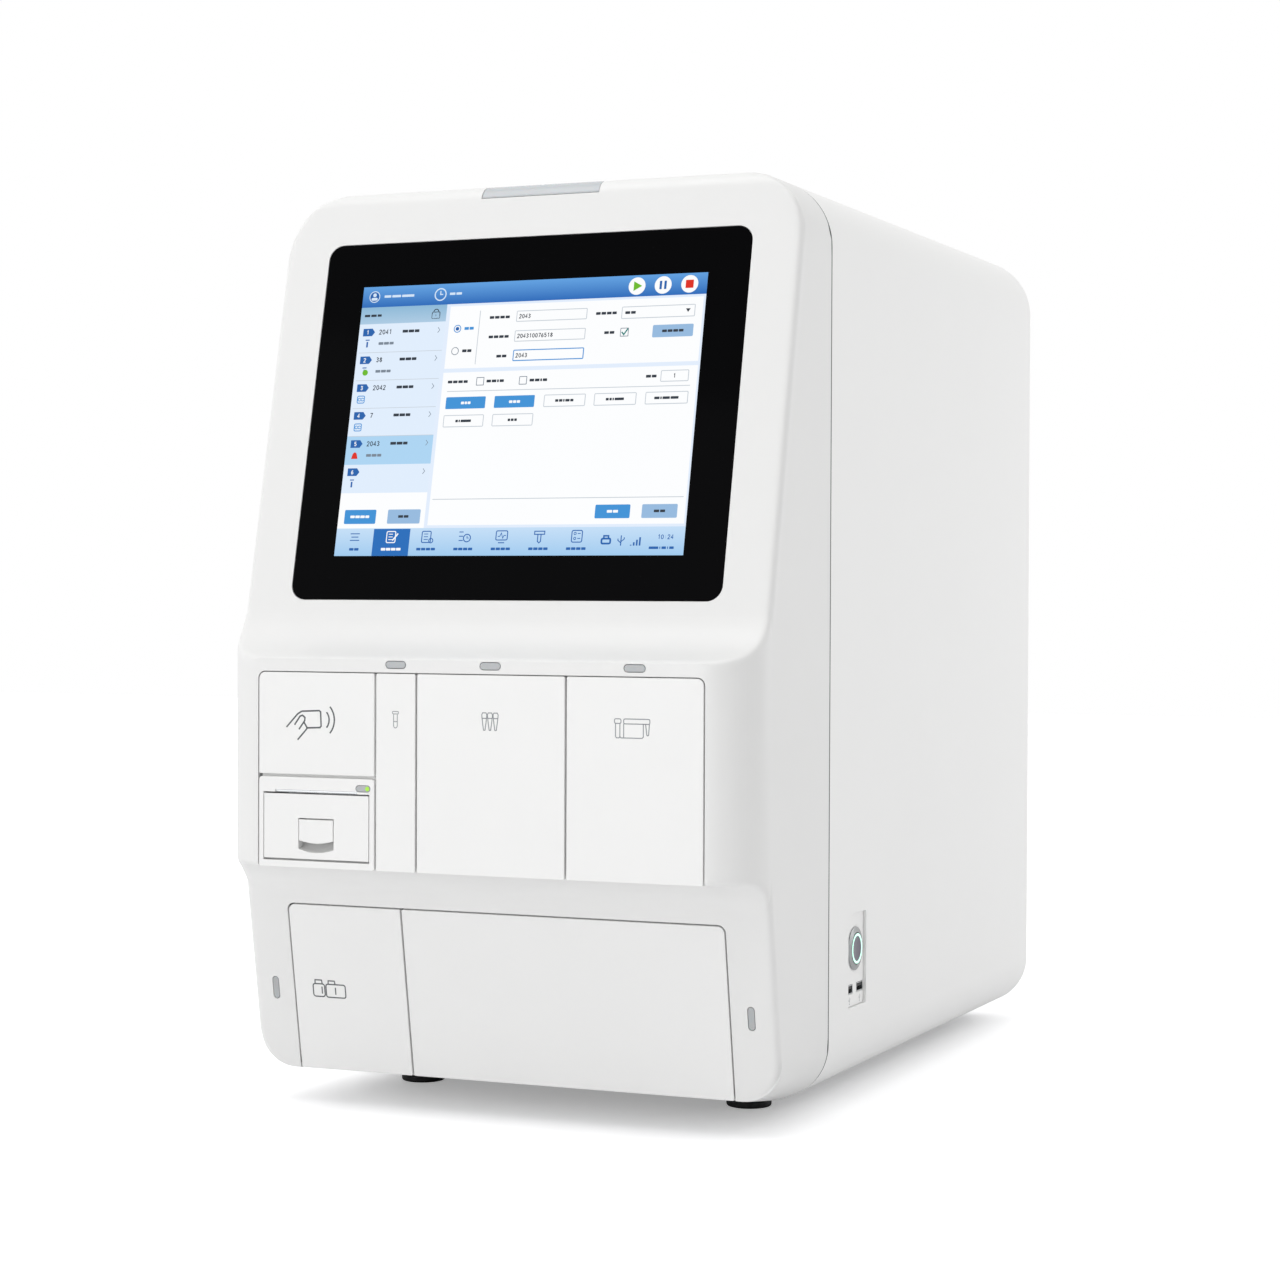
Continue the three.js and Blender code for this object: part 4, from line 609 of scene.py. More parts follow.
undersideBack = lowerY(lowerBand["bottom"]) - body["frontY"] + slope["undersideRun"]
undersideTilt = math.atan2(lowerBand["bottom"] - body["bottomZ"], slope["undersideRun"])
upperLines = [
    ((0.0, body["bandTop"]), 0.0),
    ((0.0, body["bandTop"]), math.pi / 2 - slope["shelf"]),
    ((slope["screenSetback"], body["bandTop"]), slope["screenTilt"]),
    ((0.0, body["topZ"]), math.pi / 2),
]
lowerLines = [
    ((0.0, -body["bandBottom"]), 0.0),
    ((0.0, -body["bandBottom"]), math.pi / 2),
    ((slope["lowerSetback"], -body["bandBottom"]), slope["lowerTilt"]),
    ((undersideBack, -body["bottomZ"]), math.pi / 2 - undersideTilt),
    ((0.0, -body["bottomZ"]), math.pi / 2),
]
upperRounds = [slope["bandEdge"], slope["shelfFillet"], slope["topEdge"]]
lowerRounds = [slope["bandEdge"], slope["undercutFillet"], slope["undersideEdge"], slope["undersideBend"]]
frontDepth = body["partingY"] - body["partingGap"] / 2 - body["frontY"]
upperBranch = profileBranch(upperLines, upperRounds, frontDepth + 5, 0.5 * degree)
lowerBranch = profileBranch(lowerLines, lowerRounds, frontDepth + 5, 0.5 * degree)


# Signed distance to a rounded rectangle's corner region: length of the part outside it, less the radius.
def cornerDistance(a, b, radius):
    outside = np.hypot(np.maximum(a + radius, 0), np.maximum(b + radius, 0))
    return outside + np.minimum(np.maximum(a, b) + radius, 0) - radius


def cornerNormal(a, b, radius):
    a, b = a + radius, b + radius
    curved = (a > 0) & (b > 0)
    length = np.maximum(np.hypot(a, b), 1e-9)
    flatA = (a > b).astype(float)
    return np.where(curved, a / length, flatA), np.where(curved, b / length, 1 - flatA)


# Soft maximum: the larger of two distances, plus h^2 k / 4 where they are within k of each other.
def softMax(a, b, k):
    k = np.maximum(k, 1e-6)
    h = np.maximum(k - np.abs(a - b), 0) / k
    return np.maximum(a, b) + h * h * k / 4


# Field = soft maximum of three prisms: the cross section, the plan and the side view. The section's bottom
# rises toward the front by ramp * tan(tilt), where the ramp starts as a parabola over the bend. A pair is
# softened in proportion to how far its two surfaces face apart, so surfaces that run together aren't moved.
def shellField(x, z, depth, top, topAngle, low, lowAngle):
    across = np.abs(x)
    middle = (body["topZ"] + body["bottomZ"]) / 2
    bend = slope["undersideBend"] * math.tan(undersideTilt / 2)
    ahead = undersideBack - depth
    ramp = np.where(ahead > bend, ahead, np.maximum(ahead + bend, 0) ** 2 / (4 * bend))
    share = np.clip(ramp / slope["undersideRun"], 0, 1)
    lowRadius = body["bottomRadius"] + (slope["undersideRadius"] - body["bottomRadius"]) * share
    radius = np.where(z > middle, body["topRadius"], lowRadius)
    bottom = body["bottomZ"] + ramp * math.tan(undersideTilt)
    beyond = np.where(z > middle, z - body["topZ"], bottom - z)
    section = cornerDistance(across - body["halfWidth"], beyond, radius)
    sectionX, sectionZ = cornerNormal(across - body["halfWidth"], beyond, radius)
    sectionZ = sectionZ * np.sign(z - middle)
    plan = cornerDistance(across - body["halfWidth"], -depth, body["planRadius"])
    planX, planY = cornerNormal(across - body["halfWidth"], -depth, body["planRadius"])
    above = (z - top) * np.sin(topAngle)
    below = (low - z) * np.sin(lowAngle)
    side = np.maximum(above, below)
    sideY = np.where(above > below, np.cos(topAngle), np.cos(lowAngle))
    sideZ = np.where(above > below, np.sin(topAngle), -np.sin(lowAngle))
    soft = body["creaseSoftness"]
    walls = softMax(section, plan, soft * np.clip(1 - sectionX * planX, 0, 1))
    sectionLeads = section > plan
    wallY = np.where(sectionLeads, 0.0, planY)
    wallZ = np.where(sectionLeads, sectionZ, 0.0)
    return softMax(walls, side, soft * np.clip(1 - wallY * sideY - wallZ * sideZ, 0, 1))


# Ring at a depth: rays leave a box that lies inside the section, square to its sides and fanned at its
# corners, and bisection finds where the field reaches -inset.
def shellRings(depths, insets):
    depths, insets = np.asarray(depths, float)[:, None], np.asarray(insets, float)[:, None]
    top = np.interp(depths, upperBranch[:, 0], upperBranch[:, 1])
    topAngle = np.interp(depths, upperBranch[:, 0], upperBranch[:, 2])
    low = -np.interp(depths, lowerBranch[:, 0], lowerBranch[:, 1])
    lowAngle = np.interp(depths, lowerBranch[:, 0], lowerBranch[:, 2])
    bend = np.maximum(body["planRadius"] - depths, 0)
    half = body["halfWidth"] - body["planRadius"] + np.sqrt(body["planRadius"] ** 2 - bend**2)
    core = shellGrid["skeleton"]
    right, high, floor = half - core, top - core, low + core
    share = np.linspace(-1, 1, shellGrid["fan"] + 1)
    fan = (45 + 45 * np.sign(share) * np.abs(share) ** 1.25) * degree
    alongX = np.linspace(1, -1, shellGrid["across"] + 1)[1:-1]
    alongZ = np.linspace(0, 1, shellGrid["up"] + 1)[1:-1]
    one = np.ones((len(depths), 1))
    starts, rays = [], []
    quarter = math.pi / 2
    corners = [(right, floor, -quarter), (right, high, 0.0), (-right, high, quarter)]
    corners.append((-right, floor, 2 * quarter))
    sides = [
        (right * np.ones(len(alongZ)), floor + (high - floor) * alongZ, (1, 0)),
        (right * alongX, high * np.ones(len(alongX)), (0, 1)),
        (-right * np.ones(len(alongZ)), high + (floor - high) * alongZ, (-1, 0)),
        (-right * alongX, floor * np.ones(len(alongX)), (0, -1)),
    ]
    for (cornerX, cornerZ, first), (sideX, sideZ, ray) in zip(corners, sides):
        starts.append(np.stack([cornerX * np.ones(len(fan)), cornerZ * np.ones(len(fan))], -1))
        turned = np.stack([np.cos(fan + first), np.sin(fan + first)], -1)
        rays.append(one[:, :, None] * turned[None])
        starts.append(np.stack([sideX, sideZ], -1))
        rays.append(one[:, :, None] * np.full((1, sideX.shape[1], 2), ray, float))
    starts, rays = np.concatenate(starts, 1), np.concatenate(rays, 1)
    near, far = np.zeros(starts.shape[:2]), np.full(starts.shape[:2], core * 1.6)
    for _ in range(40):
        middle = (near + far) / 2
        at = starts + rays * middle[:, :, None]
        inside = shellField(at[..., 0], at[..., 1], depths, top, topAngle, low, lowAngle) < -insets
        near, far = np.where(inside, middle, near), np.where(inside, far, middle)
    at = starts + rays * near[:, :, None]
    y = np.broadcast_to(body["frontY"] + depths, at.shape[:2])
    return np.stack([at[..., 0], y, at[..., 1]], -1)


def sortedDepths(*lists, gap=0.04):
    depths = np.sort(np.concatenate(lists))
    keep = [depths[0]]
    for depth in depths[1:]:
        if depth - keep[-1] > gap:
            keep.append(depth)
    return np.array(keep)


coarseUpper = profileBranch(upperLines, upperRounds, frontDepth, 4.0 * degree)[:, 0]
coarseLower = profileBranch(lowerLines, lowerRounds, frontDepth, 4.0 * degree)[:, 0]
planDepths = body["planRadius"] * (1 - np.cos(np.linspace(3, 90, 30) * degree))
fillSpans = ((32, 56, 1.2), (36, 94, 2.4), (56, 70, 2.0), (98, 139, 3.0))
fillDepths = np.concatenate([np.arange(*span) for span in fillSpans])
outerDepths = sortedDepths([0.002], coarseUpper[1:], coarseLower[1:], planDepths, fillDepths)
outerDepths = outerDepths[(outerDepths > 0.0015) & (outerDepths < frontDepth - body["seamRound"] - 0.05)]
seamTurn = np.linspace(0, 90, 5) * degree
seamDepths = frontDepth - body["seamRound"] * (1 - np.sin(seamTurn))
seamInsets = body["seamRound"] * (1 - np.cos(seamTurn))
innerDepths = outerDepths[outerDepths > body["wall"] + 0.06][::-2]
outerInsets = np.concatenate([0 * outerDepths, seamInsets])
outerRings = shellRings(np.concatenate([outerDepths, seamDepths]), outerInsets)
innerDepths = np.concatenate([[frontDepth], innerDepths, [body["wall"] + 0.06]])
innerRings = shellRings(innerDepths, np.full(len(innerDepths), body["wall"]))


# The flat end of a stack gets one more ring a little inside it, so that its last row stays flat when shaded.
def withSupport(ring, y, share=0.004):
    centre = ring.mean(0)
    inner = centre + (ring - centre) * (1 - share)
    inner[:, 1] = y
    return inner


outerRings[0, :, 1] = body["frontY"]
frontCap = withSupport(outerRings[0], body["frontY"])
innerRings[-1, :, 1] = body["frontY"] + body["wall"]
innerCap = withSupport(innerRings[-1], body["frontY"] + body["wall"])
shell = ringStack(np.concatenate([frontCap[None], outerRings, innerRings, innerCap[None]]))
print("front shell:", len(shell["sizes"]), "faces")

glassOutline = boxOutline(-glass["halfWidth"], glass["halfWidth"], -glassHalf, glassHalf, glass["radius"], 10)
lampSeat = {"halfWidth": 42.3, "bottom": 597.2, "top": 608.0, "front": -322.0, "back": screenY(606.0) + 14.3}

# Indicators: the x of each one's middle, and their sizes
upperPills = {"sample_indicator": -54.95, "tip_indicator": 11.252, "reagent_indicator": 108.852}
lowerPills = {"bottle_indicator": -168.2, "waste_indicator": 168.2}
pillSize = {
    "long": 14.0,
    "short": 4.5,
    "z": 292.6,
    "lowerLong": 14.8,
    "lowerShort": 4.3,
    "lowerZ": 76.6,
    "gap": 0.3,
}


def upperPill(x):
    return pillOutline(x, pillSize["z"], pillSize["long"], pillSize["short"])


def lowerPill(x):
    return pillOutline(x, upLower(pillSize["lowerZ"]), pillSize["lowerShort"], pillSize["lowerLong"])


pillPlaces = [(node, frontFace, upperPill(x)) for node, x in upperPills.items()]
pillPlaces += [(node, lowerFace, lowerPill(x)) for node, x in lowerPills.items()]
windowHalf = band["right"] + band["sideGap"]
windowTop = band["top"] + band["edgeGap"]
windowRadii = (0.05, band["windowRadius"], band["windowRadius"], 0.05)
windowOutline = boxOutline(-windowHalf, windowHalf, band["floor"], windowTop, windowRadii)
lipRing = roundedBox(-windowHalf, windowHalf, body["bandBottom"] - 2, band["floor"] + 1, 0.05)
lowerHalf = lowerBand["right"] + lowerBand["edgeGap"]
lowerTop = upLower(lowerBand["top"] + lowerBand["edgeGap"])
lowerRadii = (0.6, lowerBand["radius"], lowerBand["radius"], 0.6)
lowerOutline = boxOutline(-lowerHalf, lowerHalf, upLower(2.0), lowerTop, lowerRadii)
lampBox = (-lampSeat["halfWidth"], lampSeat["halfWidth"], lampSeat["bottom"], lampSeat["top"])
lampRing = roundedBox(*lampBox, 0.3, 3)

# Finger slot behind the foot of the lower fronts
grip = {"front": 330.0, "reach": 15.0, "low": -18.0, "high": 4.0}
gripBack = -lowerY(lowerBand["bottom"]) - grip["reach"]
gripRing = roundedBox(-lowerHalf, lowerHalf, gripBack, grip["front"], 0.05)

frontShell = newShape("front_shell", shell)
cuts = [
    cutter(screenFace, widened(glassOutline, glass["clearance"]), glass["thickness"] + 0.3, recess["edge"]),
    prism(screenFace, glassOutline(glass["lap"]), -8, 1),
    cutter(frontFace, windowOutline, recess["depth"], recess["edge"]),
    prism(frontFace, lipRing, -(band["thickness"] + 0.3), 1.0),
    cutter(lowerFace, lowerOutline, recess["depth"], recess["edge"]),
    prism(underFace, gripRing, grip["low"], grip["high"]),
    ringStack([atY(lampRing, y) for y in (lampSeat["front"], lampSeat["back"])]),
]
for _, face, pill in pillPlaces:
    cuts.append(cutter(face, widened(pill, pillSize["gap"]), recess["depth"], 0.2, 0.3))
carve(frontShell, cuts)
finishPiece(frontShell, ["frontShell", "frontShell"], replaces=["front_fascia"], keepCuts=True)
print("front shell carved")

# Ledge behind the glass: a frame that the pane is bonded to.
ledge = {"border": 4.0, "low": -6.0, "high": -2.45}
ledgeOuter, ledgeInner = glassOutline(-ledge["border"]), glassOutline(glass["lap"])
ledgeRows = [(ledgeOuter, "low"), (ledgeOuter, "high"), (ledgeInner, "high"), (ledgeInner, "low")]
ledgeRings = [onFace(screenFace, row, ledge[height]) for row, height in ledgeRows]
newPiece("screen_ledge", ringStack(ledgeRings, looped=True), ["frontShell"])

# Main cover: the cross section carried back from the parting line, rounded into the rear face, round the rear
# opening's edge and forward again inside as the wall.
coverOpenings = {
    "rear": (-150.0, 150.0, 45.0, 573.0),
    "rearRadius": 8.0,
    "port": (-140.25, -104.05, 65.6, 127.6),
    "portRadius": 2.0,
    "floor": (-143.3, 143.3, -296.55, 170.65),
}
coverFront = body["partingY"] + body["partingGap"] / 2
sectionRadii = [body[key] for key in ("bottomRadius", "topRadius", "topRadius", "bottomRadius")]
sectionBox = (-body["halfWidth"], body["halfWidth"], body["bottomZ"], body["topZ"])
section = boxOutline(*sectionBox, sectionRadii, 18, 1.5)
rearOutline = boxOutline(*coverOpenings["rear"], coverOpenings["rearRadius"], 18, 1.5)
rearBend = body["rearY"] - body["rearRadius"]


# The section inset by start + radius * (1 - cos) at rearBend + radius * sin, over a turn in degrees.
def bendRows(start, radius, turn):
    turn = turn * degree
    insets, rises = start + radius * (1 - np.cos(turn)), radius * np.sin(turn)
    return [atY(section(inset), rearBend + rise) for inset, rise in zip(insets, rises)]


seamRise = body["seamRound"] * (1 - np.sin(seamTurn[::-1]))
coverRows = [atY(section(i), coverFront + rise) for i, rise in zip(seamInsets[::-1], seamRise)]
coverRows += [atY(section(0), coverFront + 2.0), atY(section(0), rearBend - 1.5)]
coverRows += bendRows(0, body["rearRadius"], np.linspace(0, 90, 19))
coverRows.append(atY(section(body["rearRadius"] + 1.0), body["rearY"]))
edgeRows = ((0.9, 0), (0.6, 0), (0.3, 0.3), (0.3, body["wall"]))
coverRows += [atY(rearOutline(-i), body["rearY"] - y) for i, y in edgeRows]
coverRows += bendRows(body["wall"], body["rearRadius"] - body["wall"], np.linspace(90, 0, 7))
coverRows.append(atY(section(body["wall"]), coverFront))
mainCover = newShape("main_cover_shell", ringStack(coverRows, looped=True))
portOutline = boxOutline(*coverOpenings["port"], coverOpenings["portRadius"])
floorRing = roundedBox(*coverOpenings["floor"], 0.5)
carve(mainCover, [cutter(rightFace, portOutline, 8.0, 0.3), prism(underFace, floorRing, -8, 2)])
finishPiece(mainCover, ["coverShell", "coverShell"], replaces=["main_cover"], keepCuts=True)

# Dark strip let into the parting line, painted shade that makes the gap read as a dark line: the cross section as
# a thin looped band, set below both edges.
shadeStrip = {"depth": 0.1, "thickness": 1.5, "lap": 0.2}
shadeStripHalf = body["partingGap"] / 2 + shadeStrip["lap"]
shadeStripRows = ((0, -shadeStripHalf), (0, shadeStripHalf), (shadeStrip["thickness"], shadeStripHalf), (shadeStrip["thickness"], -shadeStripHalf))
shadeStripRings = [atY(section(shadeStrip["depth"] + i), body["partingY"] + y) for i, y in shadeStripRows]
newPiece("parting_shade_strip", ringStack(shadeStripRings, looped=True), ["gapShadeGrey"])
print("main cover carved")


# Fronts: flat plates with softly rounded edges

frontEdge = 0.45


def bandPlate(name, left, right, radius=1):
    outline = boxOutline(left, right, band["bottom"], band["top"], radius)
    node = name.replace("_", "_drawer_")
    shape = plate(frontFace, outline, -band["thickness"], 0.0, frontEdge)
    newPiece(name, shape, ["drawerWhite"], bodyOf[node], [node])


def leaningPlate(name, left, right, radius):
    outline = boxOutline(left, right, upLower(lowerBand["bottom"]), upLower(lowerBand["top"]), radius)
    node = name.replace("_", "_drawer_")
    shape = plate(lowerFace, outline, -lowerBand["thickness"], 0.0, frontEdge)
    newPiece(name, shape, ["drawerWhite"], bodyOf[node], [node])


bandPlate("sample_front", band["sampleLeft"], band["sampleRight"])
bandPlate("tip_front", band["tipLeft"], band["tipRight"])
reagentRadii = (1, band["windowRadius"] - band["edgeGap"], 1, 1)
bandPlate("reagent_front", band["reagentLeft"], band["right"], reagentRadii)
leaningPlate("bottle_front", lowerBand["left"], lowerBand["bottleRight"], (1, 1, 4.4, 1))
leaningPlate("waste_front", lowerBand["wasteLeft"], lowerBand["right"], (1, 4.4, 1, 1))


# Rails and posts of the front moulding behind the gaps between the fronts: each a box by its left, right, low
# and high side, the lower ones measured up the leaning face, from `back` to `front` behind the fronts' surface.
# The band and lower rails take a grey darker than the moulding: painted shade that darkens the gaps between the
# fronts.
rails = {
    "band_rails": {
        "back": -7.6,
        "front": -4.7,
        "finish": "railShadeGrey",
        "face": frontFace,
        "boxes": [
            (-158.0, 158.0, 283.8, 291.0),
            (-158.0, -153.5, 166.0, 284.2),
            (153.2, 158.0, 166.0, 284.2),
            (-42.0, -38.8, 166.0, 284.2),
            (61.3, 64.5, 166.0, 284.2),
        ],
    },
    "lower_rails": {
        "back": -7.6,
        "front": -4.7,
        "finish": "railShadeGrey",
        "face": lowerFace,
        "boxes": [
            (-158.0, 158.0, upLower(128.5), upLower(138.0)),
            (-158.0, -152.6, upLower(24.2), upLower(129.0)),
            (152.6, 158.0, upLower(24.2), upLower(129.0)),
            (-72.1, -69.0, upLower(24.2), upLower(129.0)),
        ],
    },
    "module_rail": {
        "back": -6.4,
        "front": -3.3,
        "finish": "frontShell",
        "face": frontFace,
        "boxes": [(-153.4, -71.0, 217.4, 224.0), (-71.0, -67.9, 166.0, 284.2)],
    },
}
for name, rail in rails.items():
    outlines = [boxOutline(*box, 0.3, 2) for box in rail["boxes"]]
    forms = [plate(rail["face"], outline, rail["back"], rail["front"], 0.3) for outline in outlines]
    newPiece(name, joined(forms), [rail["finish"]])

# Glass pane with a fine ground edge, and indicator lenses: shallow crowned pills
glassPane = plate(screenFace, glassOutline, -glass["thickness"], 0.0, 0.25)
newPiece("cover_glass", glassPane, ["blackGlass"], "housing", ["screen_glass"])
for node, face, pill in pillPlaces:
    newPiece(node + "_lens", plate(face, pill, -3.2, 0.0, 0.5), ["lensGrey"], "housing", [node])
print("fronts, glass and lenses made")


# Card reader panel with its four bosses, and the printer's bezel, lid, latch and button

moduleX = (band["left"] + band["moduleRight"]) / 2
cardPanel = {"bottom": 221.7, "thickness": 3.0, "edge": 0.45, "radii": (0.8, 1, 4.4, 0.8)}
boss = {"x": 26.0, "z": 17.98, "middleZ": 254.35, "profile": [(2.8, -9.0), (3.0, -8.8), (3.0, -2.5)]}
panelBox = (band["left"], band["moduleRight"], cardPanel["bottom"], band["top"])
panelOutline = boxOutline(*panelBox, cardPanel["radii"])
panelForms = [plate(frontFace, panelOutline, -cardPanel["thickness"], 0, cardPanel["edge"])]
for sideX in (-1, 1):
    for sideZ in (-1, 1):
        bossX, bossZ = moduleX + sideX * boss["x"], boss["middleZ"] + sideZ * boss["z"]
        panelForms.append(turnedForm(frontFace, bossX, bossZ, boss["profile"], 24))
newPiece("card_panel", joined(panelForms), ["panelWhite"], "housing", ["card_reader_panel"])

printer = {
    "bezelTop": 219.8,
    "bezelRadii": (1.5, 2.2, 2.2, 1.5),
    "thickness": 3.0,
    "lidLeft": -150.35,
    "lidRight": -74.15,
    "lidBottom": 167.4,
    "lidTop": 209.0,
    "lidGap": 0.5,
    "lidFoot": 1.2,
    "seatTop": 210.0,
    "cupWall": 2.0,
    "cupDepth": 13.0,
    "slotHalf": 29.85,
    "slotBottom": 208.5,
    "slotTop": 211.6,
    "notchLeft": -125.05,
    "notchRight": -99.45,
    "notchBottom": 171.6,
    "notchTop": 193.6,
    "notchSag": 2.3,
    "notchDepth": 11.0,
    "notchRise": 13.0,
    "paddleBottom": 177.6,
    "paddleSag": 1.8,
    "paddleTop": 192.8,
    "paddleGap": 0.4,
    "paddleThickness": 2.2,
    "barrelZ": 191.0,
    "barrelDepth": 2.0,
    "armX": 29.6,
    "armZ": 200.75,
    "armWidth": 2.5,
    "armHeight": 9.5,
    "armDepth": 14.0,
    "axleZ": 201.0,
    "axleDepth": 10.0,
    "boreRadius": 2.35,
}
lidMiddle = (printer["lidLeft"] + printer["lidRight"]) / 2
lidFace = sideFace(lidMiddle)
notchBox = (printer["notchLeft"], printer["notchRight"], printer["notchBottom"], printer["notchTop"])
slotSides = (lidMiddle - printer["slotHalf"], lidMiddle + printer["slotHalf"])
slotOutline = boxOutline(*slotSides, printer["slotBottom"], printer["slotTop"], 0.3, 3)
lidSides = (printer["lidLeft"] - printer["lidGap"], printer["lidRight"] + printer["lidGap"])
lidSeat = (*lidSides, printer["lidBottom"] - printer["lidFoot"], printer["seatTop"])
feedPill = {"x": -78.15, "z": 213.7, "length": 10.0, "breadth": 3.8}
feedOutline = pillOutline(*feedPill.values())
bezelOutline = boxOutline(
    band["left"], band["moduleRight"], band["bottom"], printer["bezelTop"], printer["bezelRadii"]
)
bezel = newShape("bezel", plate(frontFace, bezelOutline, -printer["thickness"], 0, 0.4))
carve(bezel, [
    cutter(frontFace, boxOutline(*lidSeat, 0.3, 3), 5, 0.25),
    cutter(frontFace, slotOutline, 5, 0.2, 0.3),
    cutter(frontFace, widened(feedOutline, 0.3), 5, 0.15, 0.3),
])
finishPiece(bezel, ["panelWhite", "panelWhite"], replaces=["printer_bezel"], keepCuts=True)


# Box whose lower side sags: its height is low + sag * u^2, u running from -1 to 1 across.
def saggedOutline(left, right, low, high, sag, radius=0.5):
    def outline(inset):
        u = np.linspace(-1, 1, 17)
        a = (left + right) / 2 + ((right - left) / 2 - inset) * u
        upper = roundedBox(left + inset, right - inset, low, high - inset, max(radius - inset, 0.03), 3)[4:12]
        return np.concatenate([np.stack([a, low + inset + sag * u**2], -1), upper])

    return outline


# Finger scoop: rings go back from the lid's face while their floor rises as a quarter ellipse.
notchOutline = saggedOutline(*notchBox, printer["notchSag"])


def scoopRing(depth):
    ring = notchOutline(0.0)
    rise = printer["notchRise"] * (1 - math.sqrt(max(0.0, 1 - (depth / printer["notchDepth"]) ** 2)))
    share = (printer["notchTop"] - ring[:, 1]) / (printer["notchTop"] - printer["notchBottom"])
    ring[:, 1] += rise * np.clip(share, 0, 1)
    return onFace(frontFace, ring, -depth)


scoopDepths = printer["notchDepth"] * np.sin(np.linspace(0, 84, 12) * degree)
scoopMouth = [onFace(frontFace, notchOutline(-0.35), 0.12), onFace(frontFace, notchOutline(0), -0.3)]
scoop = ringStack([*scoopMouth, *[scoopRing(depth) for depth in scoopDepths[1:]]])
lidBox = (printer["lidLeft"], printer["lidRight"], printer["lidBottom"], printer["lidTop"])
cupBox = np.array(notchBox) + printer["cupWall"] * np.array([-1, 1, -1, 1])
lidParts = [plate(frontFace, boxOutline(*cupBox, 1.5), -printer["cupDepth"], -1.5, 0.1, 1.5)]
for side in (-1, 1):
    armX = lidMiddle + side * (printer["armX"] + printer["armWidth"] / 2)
    arm = middleOutline(armX, printer["armZ"], printer["armWidth"], printer["armHeight"], 0.5, 2)
    lidParts.append(plate(frontFace, arm, -printer["armDepth"], -1.5, 0.1, 0.4))
boreAt = (body["frontY"] + printer["axleDepth"], printer["axleZ"])
bore = turnedForm(lidFace, *boreAt, [(printer["boreRadius"], height) for height in (-40, 40)], 24)
lid = newShape("lid_moulding", plate(frontFace, boxOutline(*lidBox, 0.4, 3), -printer["thickness"], 0, 0.3))
combine(lid, lidParts, "UNION", 0)
carve(lid, [scoop, bore])
finishPiece(lid, ["panelWhite", "panelWhite"], "lid", ["printer_lid"], keepCuts=True)

paddleSides = (printer["notchLeft"] + printer["paddleGap"], printer["notchRight"] - printer["paddleGap"])
paddleBox = (*paddleSides, printer["paddleBottom"], printer["paddleTop"])
paddleOutline = saggedOutline(*paddleBox, printer["paddleSag"], 0.6)
paddle = plate(frontFace, paddleOutline, -printer["paddleThickness"], 0.0, 0.35)
barrelProfile = [(1.6, -12.4), (1.8, -12.2), (1.8, 12.2), (1.6, 12.4)]
barrelAt = (body["frontY"] + printer["barrelDepth"], printer["barrelZ"])
barrel = turnedForm(lidFace, *barrelAt, barrelProfile, 24)
newPiece("latch_paddle", joined([paddle, barrel]), ["panelWhite"], "latch", ["printer_latch"])

# Tear bar over the paper's way out: a flat strip with a row of small teeth along its foot
teeth = {
    "pitch": 1.6,
    "height": 0.7,
    "low": 209.9,
    "high": 211.45,
    "clearance": 0.15,
    "back": -2.4,
    "front": -0.9,
}
barHalf = printer["slotHalf"] - teeth["clearance"]
across = np.linspace(lidMiddle - barHalf, lidMiddle + barHalf, 2 * int(2 * barHalf / teeth["pitch"]) + 1)
upward = teeth["low"] + teeth["height"] * (np.arange(len(across)) % 2)
ends = [(lidMiddle + barHalf, teeth["high"]), (lidMiddle - barHalf, teeth["high"])]
barRing = np.concatenate([np.stack([across, upward], -1), ends])
newPiece("tear_bar", prism(frontFace, barRing, teeth["back"], teeth["front"]), ["satinRing"])

dotX = feedPill["x"] + (feedPill["length"] - feedPill["breadth"]) / 2
dotProfile = [(1.5, -0.2), (1.5, 0.02), (1.3, 0.12), (0.8, 0.2), (0.2, 0.22)]
feedDot = turnedForm(frontFace, dotX, feedPill["z"], dotProfile, 24, tag=1)
feedForms = [plate(frontFace, feedOutline, -2.7, 0.0, 0.35), feedDot]
newPiece("feed_pill", joined(feedForms), ["lensGrey", "litGreen"], "feed_key", ["feed_button"])
print("printer and card reader made")


# Power button and data sockets, in the recess on the right-hand side. Profiles are rows of (radius, height).

port = {"y": -122.15, "faceX": 183.0, "buttonZ": 103.6, "usbZ": 77.3, "spread": 20.6}
socket = {
    "size": (13.2, 5.9),
    "shell": 0.6,
    "liner": (-11.3, -8.5),
    "tongueSize": (10.8, 1.8),
    "tongueRise": 1.0,
    "tongue": (-9.0, -0.5),
    "contactSize": (1.0, 0.25),
    "contactRise": 0.075,
    "contact": (-8.6, -1.2),
    "contactPlaces": (-3.5, -1.2, 1.2, 3.5),
}
portFace = sideFace(port["faceX"])
bezelProfile = [
    (10.6, -9.0), (12.5, -9.0), (12.5, 0.3), (14.4, 0.3), (14.5, 0.4), (14.5, 0.55), (14.2, 0.8), (12.9, 1.15),
    (11.9, 1.45), (11.2, 1.68), (10.9, 1.7), (10.7, 1.6), (10.6, 1.4),
]
capProfile = [
    (9.4, -8.0), (9.8, -7.8), (10.1, -7.4), (10.1, -0.35), (10.0, -0.2),
    (8.4, -0.25), (8.2, -0.35), (6.0, -0.75), (3.0, -1.0), (0.3, -1.05),
]
glowProfile = [(8.3, -0.6), (10.05, -0.6), (10.05, -0.12), (9.8, 0.0), (8.7, 0.0), (8.4, -0.12)]
buttonBezel = turnedForm(portFace, port["y"], port["buttonZ"], bezelProfile, 64, True)
newPiece("button_bezel", buttonBezel, ["bezelGrey"], "housing", ["power_button_bezel"])
buttonCap = turnedForm(rightFace, port["y"], port["buttonZ"], capProfile, 64)
buttonGlow = turnedForm(rightFace, port["y"], port["buttonZ"], glowProfile, 64, True, 1)
capFinishes = ["buttonDusk", "ringGlow"]
newPiece("button_cap", joined([buttonCap, buttonGlow]), capFinishes, "power_key", ["power_button"])

